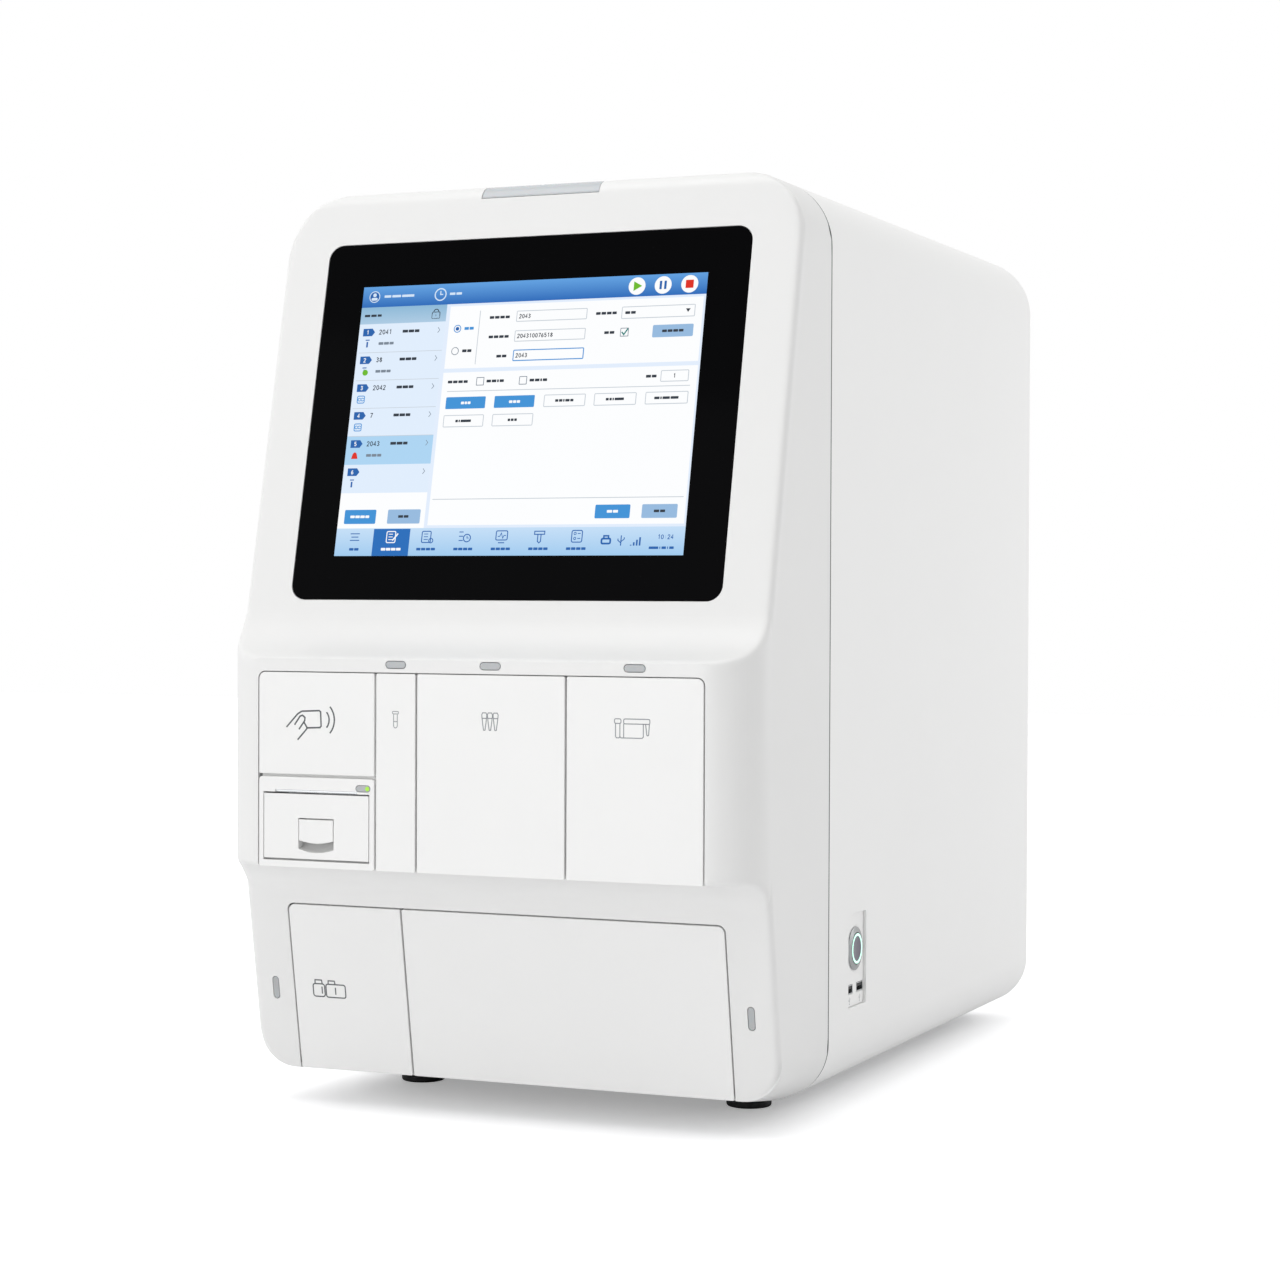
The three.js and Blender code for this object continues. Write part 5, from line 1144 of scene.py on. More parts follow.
# Each socket's tongue with its four contacts, over a dark liner; each has its back and front behind the face.
socketPlaces = [port["y"] + side * port["spread"] / 2 for side in (-1, 1)]
linerSize = [side - 2 * socket["shell"] for side in socket["size"]]
usbForms = []
for y in socketPlaces:
    liner = middleOutline(y, port["usbZ"], *linerSize, 0.2, 2)
    tongue = middleOutline(y, port["usbZ"] + socket["tongueRise"], *socket["tongueSize"], 0.2, 2)
    usbForms.append(plate(portFace, liner, *socket["liner"], 0.1))
    usbForms.append(plate(portFace, tongue, *socket["tongue"], 0.15))
    contactZ = port["usbZ"] + socket["contactRise"]
    for place in socket["contactPlaces"]:
        contact = middleOutline(y + place, contactZ, *socket["contactSize"], 0.05, 1)
        usbForms.append(plate(portFace, contact, *socket["contact"], 0.05, 0.05, tag=1))
newPiece("socket_tongues", joined(usbForms), ["darkPlastic", "brightMetal"])


# Printed marks: our own line pictograms, a hair proud of the surface that carries them. Each is an origin on the
# face and a list of paths about it, open or closed.

markHeight = 0.05


def marks(name, face, origin, paths, width, ridesOn, finish="markGrey"):
    forms = [stroke(face, np.array(path) + origin, width, markHeight, shut, -0.02) for path, shut in paths]
    newPiece(name, joined(forms), [finish], ridesOn)


def boxPath(left, right, low, high, radius, steps=2):
    return roundedBox(left, right, low, high, radius, steps), True


# Hand holding a card, with two waves
cardPaths = [
    ([(-8.2, 7.6), (4.6, 8.2), (5.6, 7.4), (6.0, -1.6), (5.2, -2.6), (-4.2, -3.0)], False),
    ([(-19.4, -2.8), (-11.2, 5.8), (-8.2, 7.6)], False),
    ([(-13.4, -1.2), (-9.4, 4.4), (-7.6, 5.0), (-5.8, 3.6), (-6.0, 1.6), (-10.2, -4.0)], False),
    ([(-6.4, 0.4), (-4.2, -3.0), (-5.0, -4.2), (-11.2, -10.8)], False),
    (arcPath(4.4, 2.4, 7.4, -42, 42, 10), False),
    (arcPath(3.0, 2.4, 12.6, -42, 42, 14), False),
]
marks("mark_card", frontFace, (-114.5, 254.5), cardPaths, 1.05, "housing", "markDark")

# Capped tube
tubePaths = [
    ([(-1.3, 3.4), (-1.3, -3.9), (-0.9, -4.8), (0.0, -5.2), (0.9, -4.8), (1.3, -3.9), (1.3, 3.4)], False),
    boxPath(-2.1, 2.1, 3.7, 5.2, 0.4),
    ([(-1.3, -1.2), (1.3, -1.2)], False),
]
marks("mark_tube", frontFace, (-55.0, 258.0), tubePaths, 0.5, "sample_drawer")

# Three pipette tips
tipHead = np.array([(-1.6, 2.2), (-1.75, 4.4), (-1.2, 5.6), (1.2, 5.6), (1.75, 4.4), (1.6, 2.2)])
tipCone = np.array([(-1.5, 2.2), (-1.2, -0.6), (-0.5, -5.2), (0.5, -5.2), (1.2, -0.6), (1.5, 2.2)])
tipPaths = []
for place in (-3.9, 0.0, 3.9):
    tipPaths += [(tipHead + (place, 0), False), (tipCone + (place, 0), True)]
marks("mark_tips", frontFace, (11.25, 258.0), tipPaths, 0.6, "tip_drawer")

# Reagent cartridge
cartPaths = [
    boxPath(-11.7, -7.4, 3.0, 5.8, 0.8),
    ([(-11.0, 3.0), (-11.0, -5.0), (-10.4, -5.8), (-8.6, -5.8), (-8.1, -5.0), (-8.1, 3.0)], False),
    boxPath(-5.6, 11.7, 2.8, 5.8, 0.8),
    ([(-5.6, 2.8), (-5.6, -5.8), (6.6, -5.8), (7.4, -5.0), (7.4, 2.8)], False),
    ([(-8.1, -4.9), (-7.4, -5.8), (-5.6, -5.8)], False),
    ([(8.9, 2.8), (9.7, -3.8), (10.3, -4.2), (10.9, -3.8), (11.4, 2.8)], False),
]
marks("mark_cartridge", frontFace, (107.4, 256.0), cartPaths, 0.6, "reagent_drawer")

# Two bottles
bottlePaths = [
    boxPath(-12.0, -3.4, -5.6, 3.0, 1.6, 3),
    ([(-10.4, 3.0), (-10.2, 5.6), (-5.4, 5.6), (-5.0, 3.0)], False),
    ([(-5.4, 1.2), (-5.4, -3.6)], False),
    boxPath(-2.4, 12.0, -5.8, 3.0, 1.4, 3),
    ([(-0.6, 3.0), (-0.4, 5.4), (4.2, 5.4), (4.6, 3.0)], False),
    ([(4.6, 1.0), (4.6, -3.8)], False),
]
marks("mark_bottles", lowerFace, (-128.0, upLower(78.0)), bottlePaths, 0.85, "bottle_drawer", "markDark")

# Branching data mark under each socket
branchPaths = [
    (np.array([(0, 67.8), (0, 72.2)]), False),
    (np.array([(-1.5, 70.9), (-1.5, 70.1), (0, 68.9)]), False),
    (np.array([(1.5, 71.5), (1.5, 70.7), (0, 69.5)]), False),
    (arcPath(0, 67.7, 0.35, 0, 330, 8), True),
]
socketPaths = [(path + (y, 0), shut) for y in socketPlaces for path, shut in branchPaths]
marks("mark_sockets", portFace, (0, 0), socketPaths, 0.28, "housing")
print("marks made")


# Levelling feet: rubber pad with a turned rim, a hexagonal nut with chamfered corners and the thread above

feet = {
    "places": {"front_left": (-121.0, -154.75), "front_right": (121.0, -154.75),
               "rear_left": (-121.0, 222.25), "rear_right": (121.0, 222.25)},
    "pad": [(0.3, 0.6), (10.0, 0.6), (10.6, 0.0), (13.4, 0.0), (14.2, 0.25), (14.8, 0.9), (15.0, 1.7), (15.0, 3.4),
            (14.8, 4.0), (14.3, 4.4), (13.4, 4.7), (11.6, 5.0), (0.3, 5.0)],
    "nut": 9.6,
    "chamfer": 0.2,
    "nutHeights": (5.3, 6.1, 9.8, 10.6),
    "stud": 4.0,
    "thread": 0.35,
    "threadLow": 4.8,
}
nutFlat = feet["nut"] * math.cos(math.pi / 6)
nutRadius = hexRadius(nutFlat, fullTurn(48) - math.pi / 12)
nutLimits = (nutFlat - feet["chamfer"], feet["nut"], feet["nut"], nutFlat - feet["chamfer"])
nutProfile = [(np.minimum(nutRadius, limit), z) for limit, z in zip(nutLimits, feet["nutHeights"])]
threadRows = np.arange(20)
threadRadii = feet["stud"] - feet["thread"] * (threadRows % 2)
threadProfile = list(zip(threadRadii, feet["threadLow"] + feet["thread"] * threadRows))
for name, (x, y) in feet["places"].items():
    footForms = [
        turnedForm(benchFace, x, y, feet["pad"], 64),
        turnedForm(benchFace, x, y, nutProfile, 48, tag=1),
        turnedForm(benchFace, x, y, threadProfile, 32, tag=1),
    ]
    node = "foot_" + name
    newPiece(node + "_turned", joined(footForms), ["blackRubber", "brightMetal"], bodyOf[node], [node])
print("feet made")


# Lit display: flat panels, buttons and line marks, each 0.03 mm over the one below, with words as plain bars

displayColours = {
    "pale": (226, 237, 252),
    "white": (252, 253, 254),
    "side": (224, 237, 252),
    "sideChosen": (172, 212, 242),
    "header": ((96, 160, 224), (38, 104, 184)),
    "sideHeader": ((140, 184, 214), (172, 202, 226)),
    "toolbar": ((196, 222, 246), (160, 202, 238)),
    "toolbarTab": (34, 108, 186),
    "blue": (62, 146, 214),
    "steel": (150, 186, 222),
    "line": (196, 204, 212),
    "ink": (48, 56, 66),
    "softInk": (122, 134, 148),
    "mark": (36, 98, 172),
    "lightMark": (212, 230, 248),
    "green": (108, 186, 40),
    "red": (222, 44, 26),
    "teal": (30, 128, 122),
}
display = {
    "left": -122.5,
    "right": 123.5,
    "low": -92.2,
    "high": 91.2,
    "listEdge": -59.0,
    "headerLow": 77.0,
    "listHeaderLow": 65.4,
    "toolbarHigh": -73.8,
    "base": -0.04,
    "step": 0.03,
    "glow": 1.0,
}
spans = {
    "header": (display["high"], display["headerLow"]),
    "sideHeader": (display["headerLow"], display["listHeaderLow"]),
    "toolbar": (display["toolbarHigh"], display["low"]),
}


# Backlit finish: its colour, or a change from an upper to a lower colour over a span of heights.
def makeBacklit(name, colour, span=None):
    material, tree, shader = newFinish("display_" + name)
    place = addNode(tree, "TexCoord", {}).outputs["Object"]
    if span:
        colours = [linearColour(part) for part in colour]
        first, last = ((glassMiddle + height * tiltCos) * mm for height in span)
        parts = addNode(tree, "SeparateXYZ", {"Vector": place})
        fade = addNode(tree, "MapRange", {"From Min": first, "From Max": last, "Value": parts.outputs["Z"]})
        share = fade.outputs["Result"]
    else:
        colours = [linearColour(colour, gain) for gain in (0.985, 1.0)]
        share = addNode(tree, "TexNoise", {"Scale": 1 / (60 * mm), "Vector": place}).outputs["Fac"]
    mix = addNode(tree, "Mix", {"A": colours[0], "B": colours[1], "Factor": share}, data_type="RGBA")
    feed(tree, shader, {
        "Base Color": (0.004, 0.004, 0.005, 1),
        "Roughness": 0.14,
        "Specular IOR Level": 0.1,
        "Emission Strength": display["glow"],
        "Emission Color": mix.outputs["Result"],
    })
    return material


for name, colour in displayColours.items():
    materials["display_" + name] = makeBacklit(name, colour, spans.get(name))
    slotNames["display_" + name] = "black_glass"
displayTags = {name: number for number, name in enumerate(displayColours)}
shown = []


def layerTop(layer):
    return 0.02 + display["step"] * (layer + 1)


def polygon(ring, colour, layer):
    shown.append(prism(screenFace, ring, display["base"], layerTop(layer), displayTags[colour]))


def panel(left, right, low, high, colour, layer, radius=0.03):
    polygon(roundedBox(left, right, low, high, radius, 3), colour, layer)


def disc(a, b, radius, colour, layer, count=28):
    polygon(around(a, b, radius, fullTurn(count)), colour, layer)


def line(path, colour="mark", layer=3, width=0.65, closed=False):
    height = layerTop(layer) - display["base"]
    shown.append(stroke(screenFace, path, width, height, closed, display["base"], displayTags[colour]))


def boxLine(left, right, low, high, colour="mark", layer=3, width=0.65, radius=0.8):
    line(roundedBox(left, right, low, high, radius, 2), colour, layer, width, True)


def framed(left, right, low, high, colour="line", width=0.55, radius=0.8):
    panel(left, right, low, high, colour, 3, radius)
    panel(left + width, right - width, low + width, high - width, "white", 4, max(radius - width, 0.1))


def tickBox(left, low, side=5.6):
    framed(left, left + side, low, low + side, "softInk", 0.5, 0.4)


# A word is a row of short bars, its parts given by their lengths.
def word(a, b, parts, colour="ink", layer=3, height=1.8, gap=0.6):
    for part in parts:
        panel(a, a + part, b - height / 2, b + height / 2, colour, layer, 0.3)
        a += part + gap


def middleWord(middle, b, parts, colour="ink", layer=5):
    word(middle - (sum(parts) + 0.5 * (len(parts) - 1)) / 2, b, parts, colour, layer, 1.7, 0.5)


# Strokes of each numeral, 1.0 wide and 1.7 high.
digitPaths = {
    "0": [[(0.5, 1.7), (0.1, 1.4), (0.0, 0.85), (0.1, 0.3), (0.5, 0.0), (0.9, 0.3), (1.0, 0.85), (0.9, 1.4),
           (0.5, 1.7)]],
    "1": [[(0.2, 1.35), (0.6, 1.7), (0.6, 0.0)]],
    "2": [[(0.0, 1.25), (0.2, 1.6), (0.55, 1.7), (0.9, 1.5), (0.9, 1.1), (0.0, 0.0), (1.0, 0.0)]],
    "3": [[(0.05, 1.5), (0.5, 1.7), (0.95, 1.35), (0.5, 0.92), (1.0, 0.45), (0.5, 0.0), (0.0, 0.25)]],
    "4": [[(0.75, 0.0), (0.75, 1.7), (0.0, 0.5), (1.0, 0.5)]],
    "5": [[(0.9, 1.7), (0.15, 1.7), (0.1, 0.95), (0.6, 1.08), (1.0, 0.6), (0.6, 0.02), (0.0, 0.2)]],
    "6": [[(0.8, 1.65), (0.3, 1.35), (0.03, 0.6), (0.25, 0.05), (0.75, 0.05), (1.0, 0.5), (0.7, 0.95),
           (0.1, 0.7)]],
    "7": [[(0.0, 1.7), (1.0, 1.7), (0.35, 0.0)]],
    "8": [[(0.5, 0.92), (0.1, 1.3), (0.5, 1.7), (0.9, 1.3), (0.5, 0.92), (0.0, 0.45), (0.5, 0.0), (1.0, 0.45),
           (0.5, 0.92)]],
    ":": [[(0.45, 1.2), (0.45, 1.05)], [(0.45, 0.5), (0.45, 0.35)]],
}


def number(text, a, b, size=2.6, colour="ink", layer=5, weight=0.5):
    for place, digit in enumerate(text):
        for path in digitPaths[digit]:
            flat = np.array(path) * size / 1.7 * (0.9, 1.0) + (a + place * size * 0.82, b - size / 2)
            line(flat, colour, layer, weight)


left, right, low, high, listEdge = (display[key] for key in ("left", "right", "low", "high", "listEdge"))
headerLow, listHeaderLow, toolbarHigh = (display[key] for key in ("headerLow", "listHeaderLow", "toolbarHigh"))
panel(left, right, low, high, "pale", 0)
panel(left, right, headerLow, high, "header", 1)
panel(left, listEdge, listHeaderLow, headerLow, "sideHeader", 1)
panel(left, listEdge, toolbarHigh, listHeaderLow, "white", 1)
panel(left, listEdge, -50.0, listHeaderLow, "side", 2)
panel(left, listEdge, -30.8, -11.4, "sideChosen", 3)
panel(-56.3, 122.0, 33.0, 75.4, "white", 1)
panel(-56.5, 122.2, -72.0, 30.3, "white", 1)
panel(left, right, low, toolbarHigh, "toolbar", 1)
panel(-95.0, -68.4, low, -74.2, "toolbarTab", 2)

# Top bar
disc(-113.7, 84.2, 4.0, "lightMark", 2)
disc(-113.7, 84.2, 3.4, "mark", 3)
disc(-113.7, 85.4, 1.3, "lightMark", 4)
panel(-116.0, -111.4, 81.7, 83.6, "lightMark", 4, 0.9)
word(-106.4, 84.2, (5.0, 6.5, 9.0), "lightMark", 3, 1.6, 0.8)
line(arcPath(-64.8, 84.0, 4.0, 0, 345, 30), "lightMark", 3, 0.8, True)
line([(-64.8, 86.4), (-64.8, 84.0), (-62.9, 84.0)], "lightMark", 3, 0.7)
word(-58.0, 84.2, (4.0, 4.0), "lightMark", 3, 1.6, 0.8)
for place in (75.4, 93.4, 111.6):
    disc(place, 84.0, 5.8, "white", 3, 40)
polygon([(73.2, 87.2), (73.2, 80.8), (79.0, 84.0)], "green", 4)
panel(91.0, 92.6, 81.2, 86.8, "mark", 4, 0.2)
panel(94.2, 95.8, 81.2, 86.8, "mark", 4, 0.2)
panel(108.9, 114.3, 81.3, 86.7, "red", 4, 0.3)

# Sample list
word(-119.6, 71.2, (4.0, 4.0, 3.0), "ink", 3, 1.6, 0.8)
panel(-69.4, -63.8, 67.8, 72.0, "sideHeader", 3, 0.5)
boxLine(-69.4, -63.8, 67.8, 72.0, "ink", 3, 0.6, 0.5)
line(arcPath(-66.6, 72.2, 1.8, 0, 180, 9), "ink", 3, 0.6)
line([(-66.6, 70.6), (-66.6, 69.2)], "ink", 3, 0.6)
threeBars = (4.0, 4.0, 3.4)
rows = [(59.7, "2041", threeBars), (40.6, "38", threeBars), (21.5, "2042", threeBars), (2.5, "7", threeBars)]
rows += [(-16.7, "2043", (4.2, 4.2, 3.2)), (-35.8, "", ())]
for place, (b, value, parts) in enumerate(rows):
    polygon([(-119.4, b + 2.6), (-119.4, b - 2.6), (-112.6, b - 2.6), (-110.6, b), (-112.6, b + 2.6)], "mark", 4)
    number(str(place + 1), -116.6, b, 2.6, "white", 5, 0.45)
    number(value, -107.2, b, 3.0)
    word(-90.0, b, parts, "ink", 5, 1.9, 0.5)
    line([(-64.0, b + 1.8), (-62.6, b), (-64.0, b - 1.8)], "softInk", 4, 0.4)
    if place in (0, 1, 4):
        word(-107.0, b - 7.9, (3.6, 3.6, 3.0), "softInk", 5, 1.8, 0.5)
    if place < 4:
        line([(-121.0, b - 14.0), (-59.6, b - 14.0)], "line", 4, 0.35)
for b in (51.8, 32.7, -43.7):
    line([(-117.0, b + 2.6), (-114.0, b + 2.6)], "mark", 4, 0.7)
    line([(-115.5, b + 1.4), (-115.5, b - 2.4)], "mark", 4, 1.2)
disc(-114.6, 32.0, 2.0, "green", 6)
for b in (13.6, -5.4):
    boxLine(-118.2, -113.0, b - 2.4, b + 2.4, "blue", 4, 0.6)
    line(arcPath(-116.7, b, 1.0, 20, 340, 9), "blue", 4, 0.5)
    line(arcPath(-114.5, b, 1.0, 20, 340, 9), "blue", 4, 0.5)
polygon([(-118.0, -26.8), (-113.2, -26.8), (-114.2, -23.2), (-115.6, -22.2), (-117.0, -23.2)], "red", 4)
panel(-118.0, -94.8, -70.8, -61.3, "blue", 2, 0.8)
word(-113.6, -66.0, (3.2, 3.2, 3.2, 2.8), "white", 3, 1.7, 0.5)
panel(-86.2, -62.4, -70.8, -61.3, "steel", 2, 0.8)
word(-78.4, -66.0, (3.6, 3.4), "ink", 3, 1.7, 0.5)

# Upper form
disc(-49.7, 60.0, 2.7, "blue", 3)
disc(-49.7, 60.0, 2.1, "white", 4)
disc(-49.7, 60.0, 1.3, "mark", 5)
word(-44.6, 60.0, (3.2, 3.0), "blue", 3, 1.9, 0.5)
disc(-49.8, 44.8, 2.7, "softInk", 3)
disc(-49.8, 44.8, 2.2, "white", 4)
word(-44.6, 44.8, (3.2, 3.0), "ink", 3, 1.9, 0.5)
line([(-34.2, 71.8), (-34.2, 35.4)], "line", 3, 0.5)
fourBars, twoBars = (3.2, 3.2, 3.2, 3.0), (3.4, 3.2)
word(-27.0, 66.8, fourBars)
word(-26.4, 53.6, fourBars)
word(-19.4, 40.4, twoBars)
framed(-7.8, 42.4, 63.2, 70.7)
number("2043", -5.6, 66.9)
framed(-7.8, 42.4, 49.8, 57.4)
number("204310076518", -5.6, 53.6)
framed(-7.6, 42.6, 36.7, 44.4, "blue", 0.7)
number("2043", -5.4, 40.5)
word(48.6, 66.7, fourBars)
framed(66.4, 117.0, 62.4, 70.6)
word(69.0, 66.5, twoBars, "ink", 5)
polygon([(110.6, 67.8), (112.2, 65.4), (113.8, 67.8)], "ink", 5)
word(55.6, 53.7, (3.2, 3.2))
tickBox(66.7, 50.7, 5.8)
line([(67.8, 53.8), (69.3, 52.0), (71.9, 55.9)], "teal", 5, 0.9)
panel(89.0, 116.8, 49.4, 57.6, "steel", 3, 0.8)
word(95.6, 53.5, (3.3, 3.3, 3.3, 3.2), "ink", 4, 1.7, 0.5)

# Lower form
word(-52.6, 23.9, fourBars)
tickBox(-32.0, 21.0)
word(-24.6, 23.8, (3.2, 3.2, 1.2, 3.0))
tickBox(-1.3, 20.8)
word(6.2, 23.6, (3.2, 3.2, 1.2, 3.0))
word(87.4, 23.9, twoBars)
framed(97.4, 116.6, 20.0, 27.6)
number("1", 106.2, 23.8)
line([(-52.4, 17.5), (118.0, 17.2)], "line", 3, 0.5)
for left, parts in ((-52.5, (2.2, 1.6, 2.0)), (-17.5, (2.4, 2.2, 2.2))):
    panel(left, left + 28.6, 5.6, 13.6, "blue", 3, 0.6)
    middleWord(left + 14.5, 9.5, parts, "white")
fields = ((17.7, (2.2, 2.4, 1.0, 3.0, 2.2)), (52.9, (2.0, 1.6, 1.0, 6.4)), (88.2, (3.6, 1.0, 5.0, 5.4)))
for left, parts in fields:
    framed(left, left + 29.2, 5.4, 13.6)
    middleWord(left + 14.5, 9.5, parts)
for left, parts in ((-53.0, (1.8, 1.0, 7.4)), (-17.8, (1.8, 1.9, 1.8))):
    framed(left, left + 29.1, -6.7, 1.5)
    middleWord(left + 14.5, -2.6, parts)
line([(-54.8, -54.8), (120.4, -54.8)], "line", 3, 0.5)
for left, colour, ink in ((61.0, "blue", "white"), (93.0, "steel", "ink")):
    panel(left, left + 24.0, -68.3, -59.4, colour, 3, 0.8)
    word(left + 8.2, -63.8, (3.6, 3.4), ink, 4, 1.7)

# Tool bar
for b, reach in ((-77.4, 3.4), (-79.6, 2.6), (-81.8, 3.4)):
    line([(-108.6 - reach, b), (-108.6 + reach, b)], "mark", 3, 0.6)


def sheetIcon(a, colour):
    boxLine(a - 3.6, a + 2.8, -83.4, -76.0, colour)
    for b in (-77.8, -79.6, -81.4):
        line([(a - 2.2, b), (a + 0.8, b)], colour, 3, 0.5)


sheetIcon(-81.6, "white")
line([(-80.8, -82.0), (-77.0, -77.4)], "white", 4, 0.9)
sheetIcon(-55.9, "mark")
line(arcPath(-52.8, -82.2, 1.5, 0, 340, 12), "mark", 4, 0.6, True)
for b in (-76.6, -79.4, -82.2):
    line([(-32.8, b), (-29.8, b)], "mark", 3, 0.6)
line(arcPath(-27.0, -80.6, 2.5, 0, 345, 18), closed=True)
line([(-27.0, -79.2), (-27.0, -80.6), (-25.8, -80.6)], "mark", 3, 0.5)
boxLine(-6.4, 1.6, -82.0, -76.0)
line([(-5.2, -79.6), (-3.8, -79.6), (-2.8, -77.4), (-1.6, -80.8), (-0.8, -79.0), (0.6, -79.0)], "mark", 3, 0.5)
line([(-4.6, -83.8), (-0.2, -83.8)])
line([(20.6, -76.4), (27.6, -76.4), (27.6, -78.4), (20.6, -78.4)], closed=True)
line([(23.0, -78.4), (23.0, -83.0), (24.1, -84.0), (25.2, -83.0), (25.2, -78.4)])
boxLine(46.6, 53.8, -83.6, -76.0, radius=1.0)
for b in (-78.0, -81.2):
    line(arcPath(48.8, b, 0.8, 0, 320, 8), "mark", 3, 0.45, True)
    line([(50.6, b), (52.6, b)], "mark", 3, 0.5)
middleWord(-108.4, -87.8, (3.2, 3.2), "mark", 4)
middleWord(-81.3, -87.8, (3.2, 3.2, 3.2, 3.2), "white", 4)
for place in (-55.9, -29.2, -2.5, 23.9, 50.2):
    middleWord(place, -87.8, (3.0, 3.0, 3.0, 3.0), "mark", 4)
boxLine(67.4, 73.4, -84.6, -81.4, "mark", 3, 1.2)
line([(68.8, -81.0), (68.8, -79.6), (72.0, -79.6), (72.0, -81.0)], "mark", 3, 1.0)
line([(80.7, -86.0), (80.7, -79.4)], "mark", 3, 0.7)
line([(78.6, -81.4), (78.6, -82.6), (80.7, -84.2)], "mark", 3, 0.6)
line([(82.8, -80.6), (82.8, -81.8), (80.7, -83.4)], "mark", 3, 0.6)
for place, b in enumerate((-85.4, -83.8, -82.2, -80.6)):
    line([(87.6 + place * 2.0, -86.0), (87.6 + place * 2.0, b)], "mark", 3, 1.1)
number("10:24", 105.6, -80.4, 2.7, "mark", 3, 0.45)
word(100.0, -87.4, (6.4, 0.6, 3.0, 0.6, 3.0), "mark", 3, 1.6, 0.8)
newPiece("display_picture", joined(shown), ["display_" + name for name in displayColours])
print("display made:", len(shown), "shapes")


# Rear panel: a plate with rounded edges, with air slots, a grille over the fan and a seat for the mains inlet
rearPanel = {
    "thickness": 3.0,
    "edge": 0.3,
    "slots": {"count": 9, "long": 90.0, "short": 3.0, "pitch": 9.0, "firstZ": 430.0, "x": 80.0},
    "grille": {"count": 8, "short": 4.0, "pitch": 9.0, "radius": 43.0, "x": 80.0, "z": 330.0},
    "inlet": {"x": -100.0, "z": 80.0, "seat": (50.6, 24.6), "hole": (28.6, 20.6), "depth": 2.3},
    "screws": {"x": 141.0, "z": (54.0, 226.0, 398.0, 564.0), "radius": 3.2, "gap": 0.25, "sink": 1.6},
}
slots, grille, inlet, screws = (rearPanel[part] for part in ("slots", "grille", "inlet", "screws"))
openings = []
for place in range(slots["count"]):
    for a in (slots["x"], -slots["x"]):
        slotZ = slots["firstZ"] + place * slots["pitch"]
        openings.append(pillOutline(a, slotZ, slots["long"], slots["short"]))
for place in range(grille["count"]):
    rise = (place - (grille["count"] - 1) / 2) * grille["pitch"]
    long = 2 * math.sqrt(grille["radius"] ** 2 - rise**2)
    openings.append(pillOutline(-grille["x"], grille["z"] + rise, long, grille["short"]))
rearCuts = [cutter(rearFace, slot, rearPanel["thickness"] + 1.0, rearPanel["edge"]) for slot in openings]
inletSeat, inletHole = (middleOutline(-inlet["x"], inlet["z"], *inlet[key], 0.5) for key in ("seat", "hole"))
rearCuts.append(cutter(rearFace, inletSeat, inlet["depth"], rearPanel["edge"]))
rearCuts.append(prism(rearFace, inletHole(0), -6.0, -1.0))


# Countersunk head with a hexagonal socket: rows of (radius, height), round outside and six-sided inside.
def screwHead(a, b, radius, sink):
    rows = [(radius - 0.2, -sink), (radius, 0.2 - sink), (radius, -0.5)]
    rows += [(radius - 0.2, -0.28), (radius - 0.8, -0.2)]
    socketRows = [(1.5, -0.2), (1.4, -0.3), (1.4, 0.3 - sink), (0.2, 0.25 - sink)]
    rows += [(hexRadius(flat, fullTurn(24)), height) for flat, height in socketRows]
    return turnedForm(rearFace, a, b, rows, 24)


screwPlaces = [(side * screws["x"], z) for z in screws["z"] for side in (-1, 1)]
holeWidth = 2 * (screws["radius"] + screws["gap"])
screwHoles = [pillOutline(*at, holeWidth + 0.01, holeWidth) for at in screwPlaces]
rearCuts += [cutter(rearFace, hole, screws["sink"], 0.2) for hole in screwHoles]
rearForm = plate(rearFace, rearOutline, -rearPanel["thickness"], 0.0, rearPanel["edge"])
rearPlate = newShape("rear_plate", rearForm)
carve(rearPlate, rearCuts)
finishPiece(rearPlate, ["coverShell", "coverShell"], replaces=["rear_panel"], keepCuts=True)
heads = [screwHead(*at, screws["radius"], screws["sink"]) for at in screwPlaces]
newPiece("rear_screws", joined(heads), ["brightMetal"])
print("rear panel made")


# Other CAD pieces: merged copies with their finish and a small round on their edges
dressing = {
    "status_lamp": ("lampGrey", 0.4),
    "printer_frame": ("frameGrey", 0.3),
    "print_head": ("brightMetal", 0.3),
    "paper_roll": ("paperWhite", 0.15),
    "platen_roller": ("blackRubber", 0.15),
    "card_reader_board": ("boardGreen", 0.1),
    "lcd_panel": ("darkPlastic", 0.5),
    "base_plate": ("sheetSteel", 0.4),
    "port_plate": ("coverShell", 0.25),
    "usb_sockets": ("brightMetal", 0.12),
    "power_inlet": ("darkPlastic", 0.3),
    "fan_housing": ("darkPlastic", 0.4),
    "fan_rotor": ("darkPlastic", 0.25),
    "sample_drawer_rack": ("trayGrey", 0.3),
    "sample_tube_1": ("tubeClear", 0.5),
    "tip_drawer_tray": ("trayGrey", 0.4),
    "tip_rack": ("trayGrey", 0.2),
    "reagent_drawer_tray": ("trayGrey", 0.3),
    "reagent_strip_1": ("bottleWhite", 0.3),
    "reagent_strip_2": ("bottleWhite", 0.3),
    "bottle_drawer_tray": ("trayGrey", 0.4),
    "liquid_waste_bottle": ("bottleWhite", 0.4),
    "wash_bottle": ("bottleWhite", 0.4),
    "waste_drawer_tray": ("trayGrey", 0.4),
    "waste_bin": ("darkPlastic", 0.4),
    "chassis_frame": ("sheetSteel", 0.3),
    "chassis_deck": ("sheetSteel", 0.3),
    "chassis_floor": ("sheetSteel", 0.3),
    "gantry_beam": ("brightMetal", 0.5),
    "pipette_carriage": ("sheetSteel", 0.5),
    "pipette_head": ("darkPlastic", 0.6),
    "incubator_block": ("brightMetal", 0.3),
    "reader_module": ("darkPlastic", 0.6),
    "power_supply": ("sheetSteel", 0.5),
    "main_board": ("boardGreen", 0.1),
}
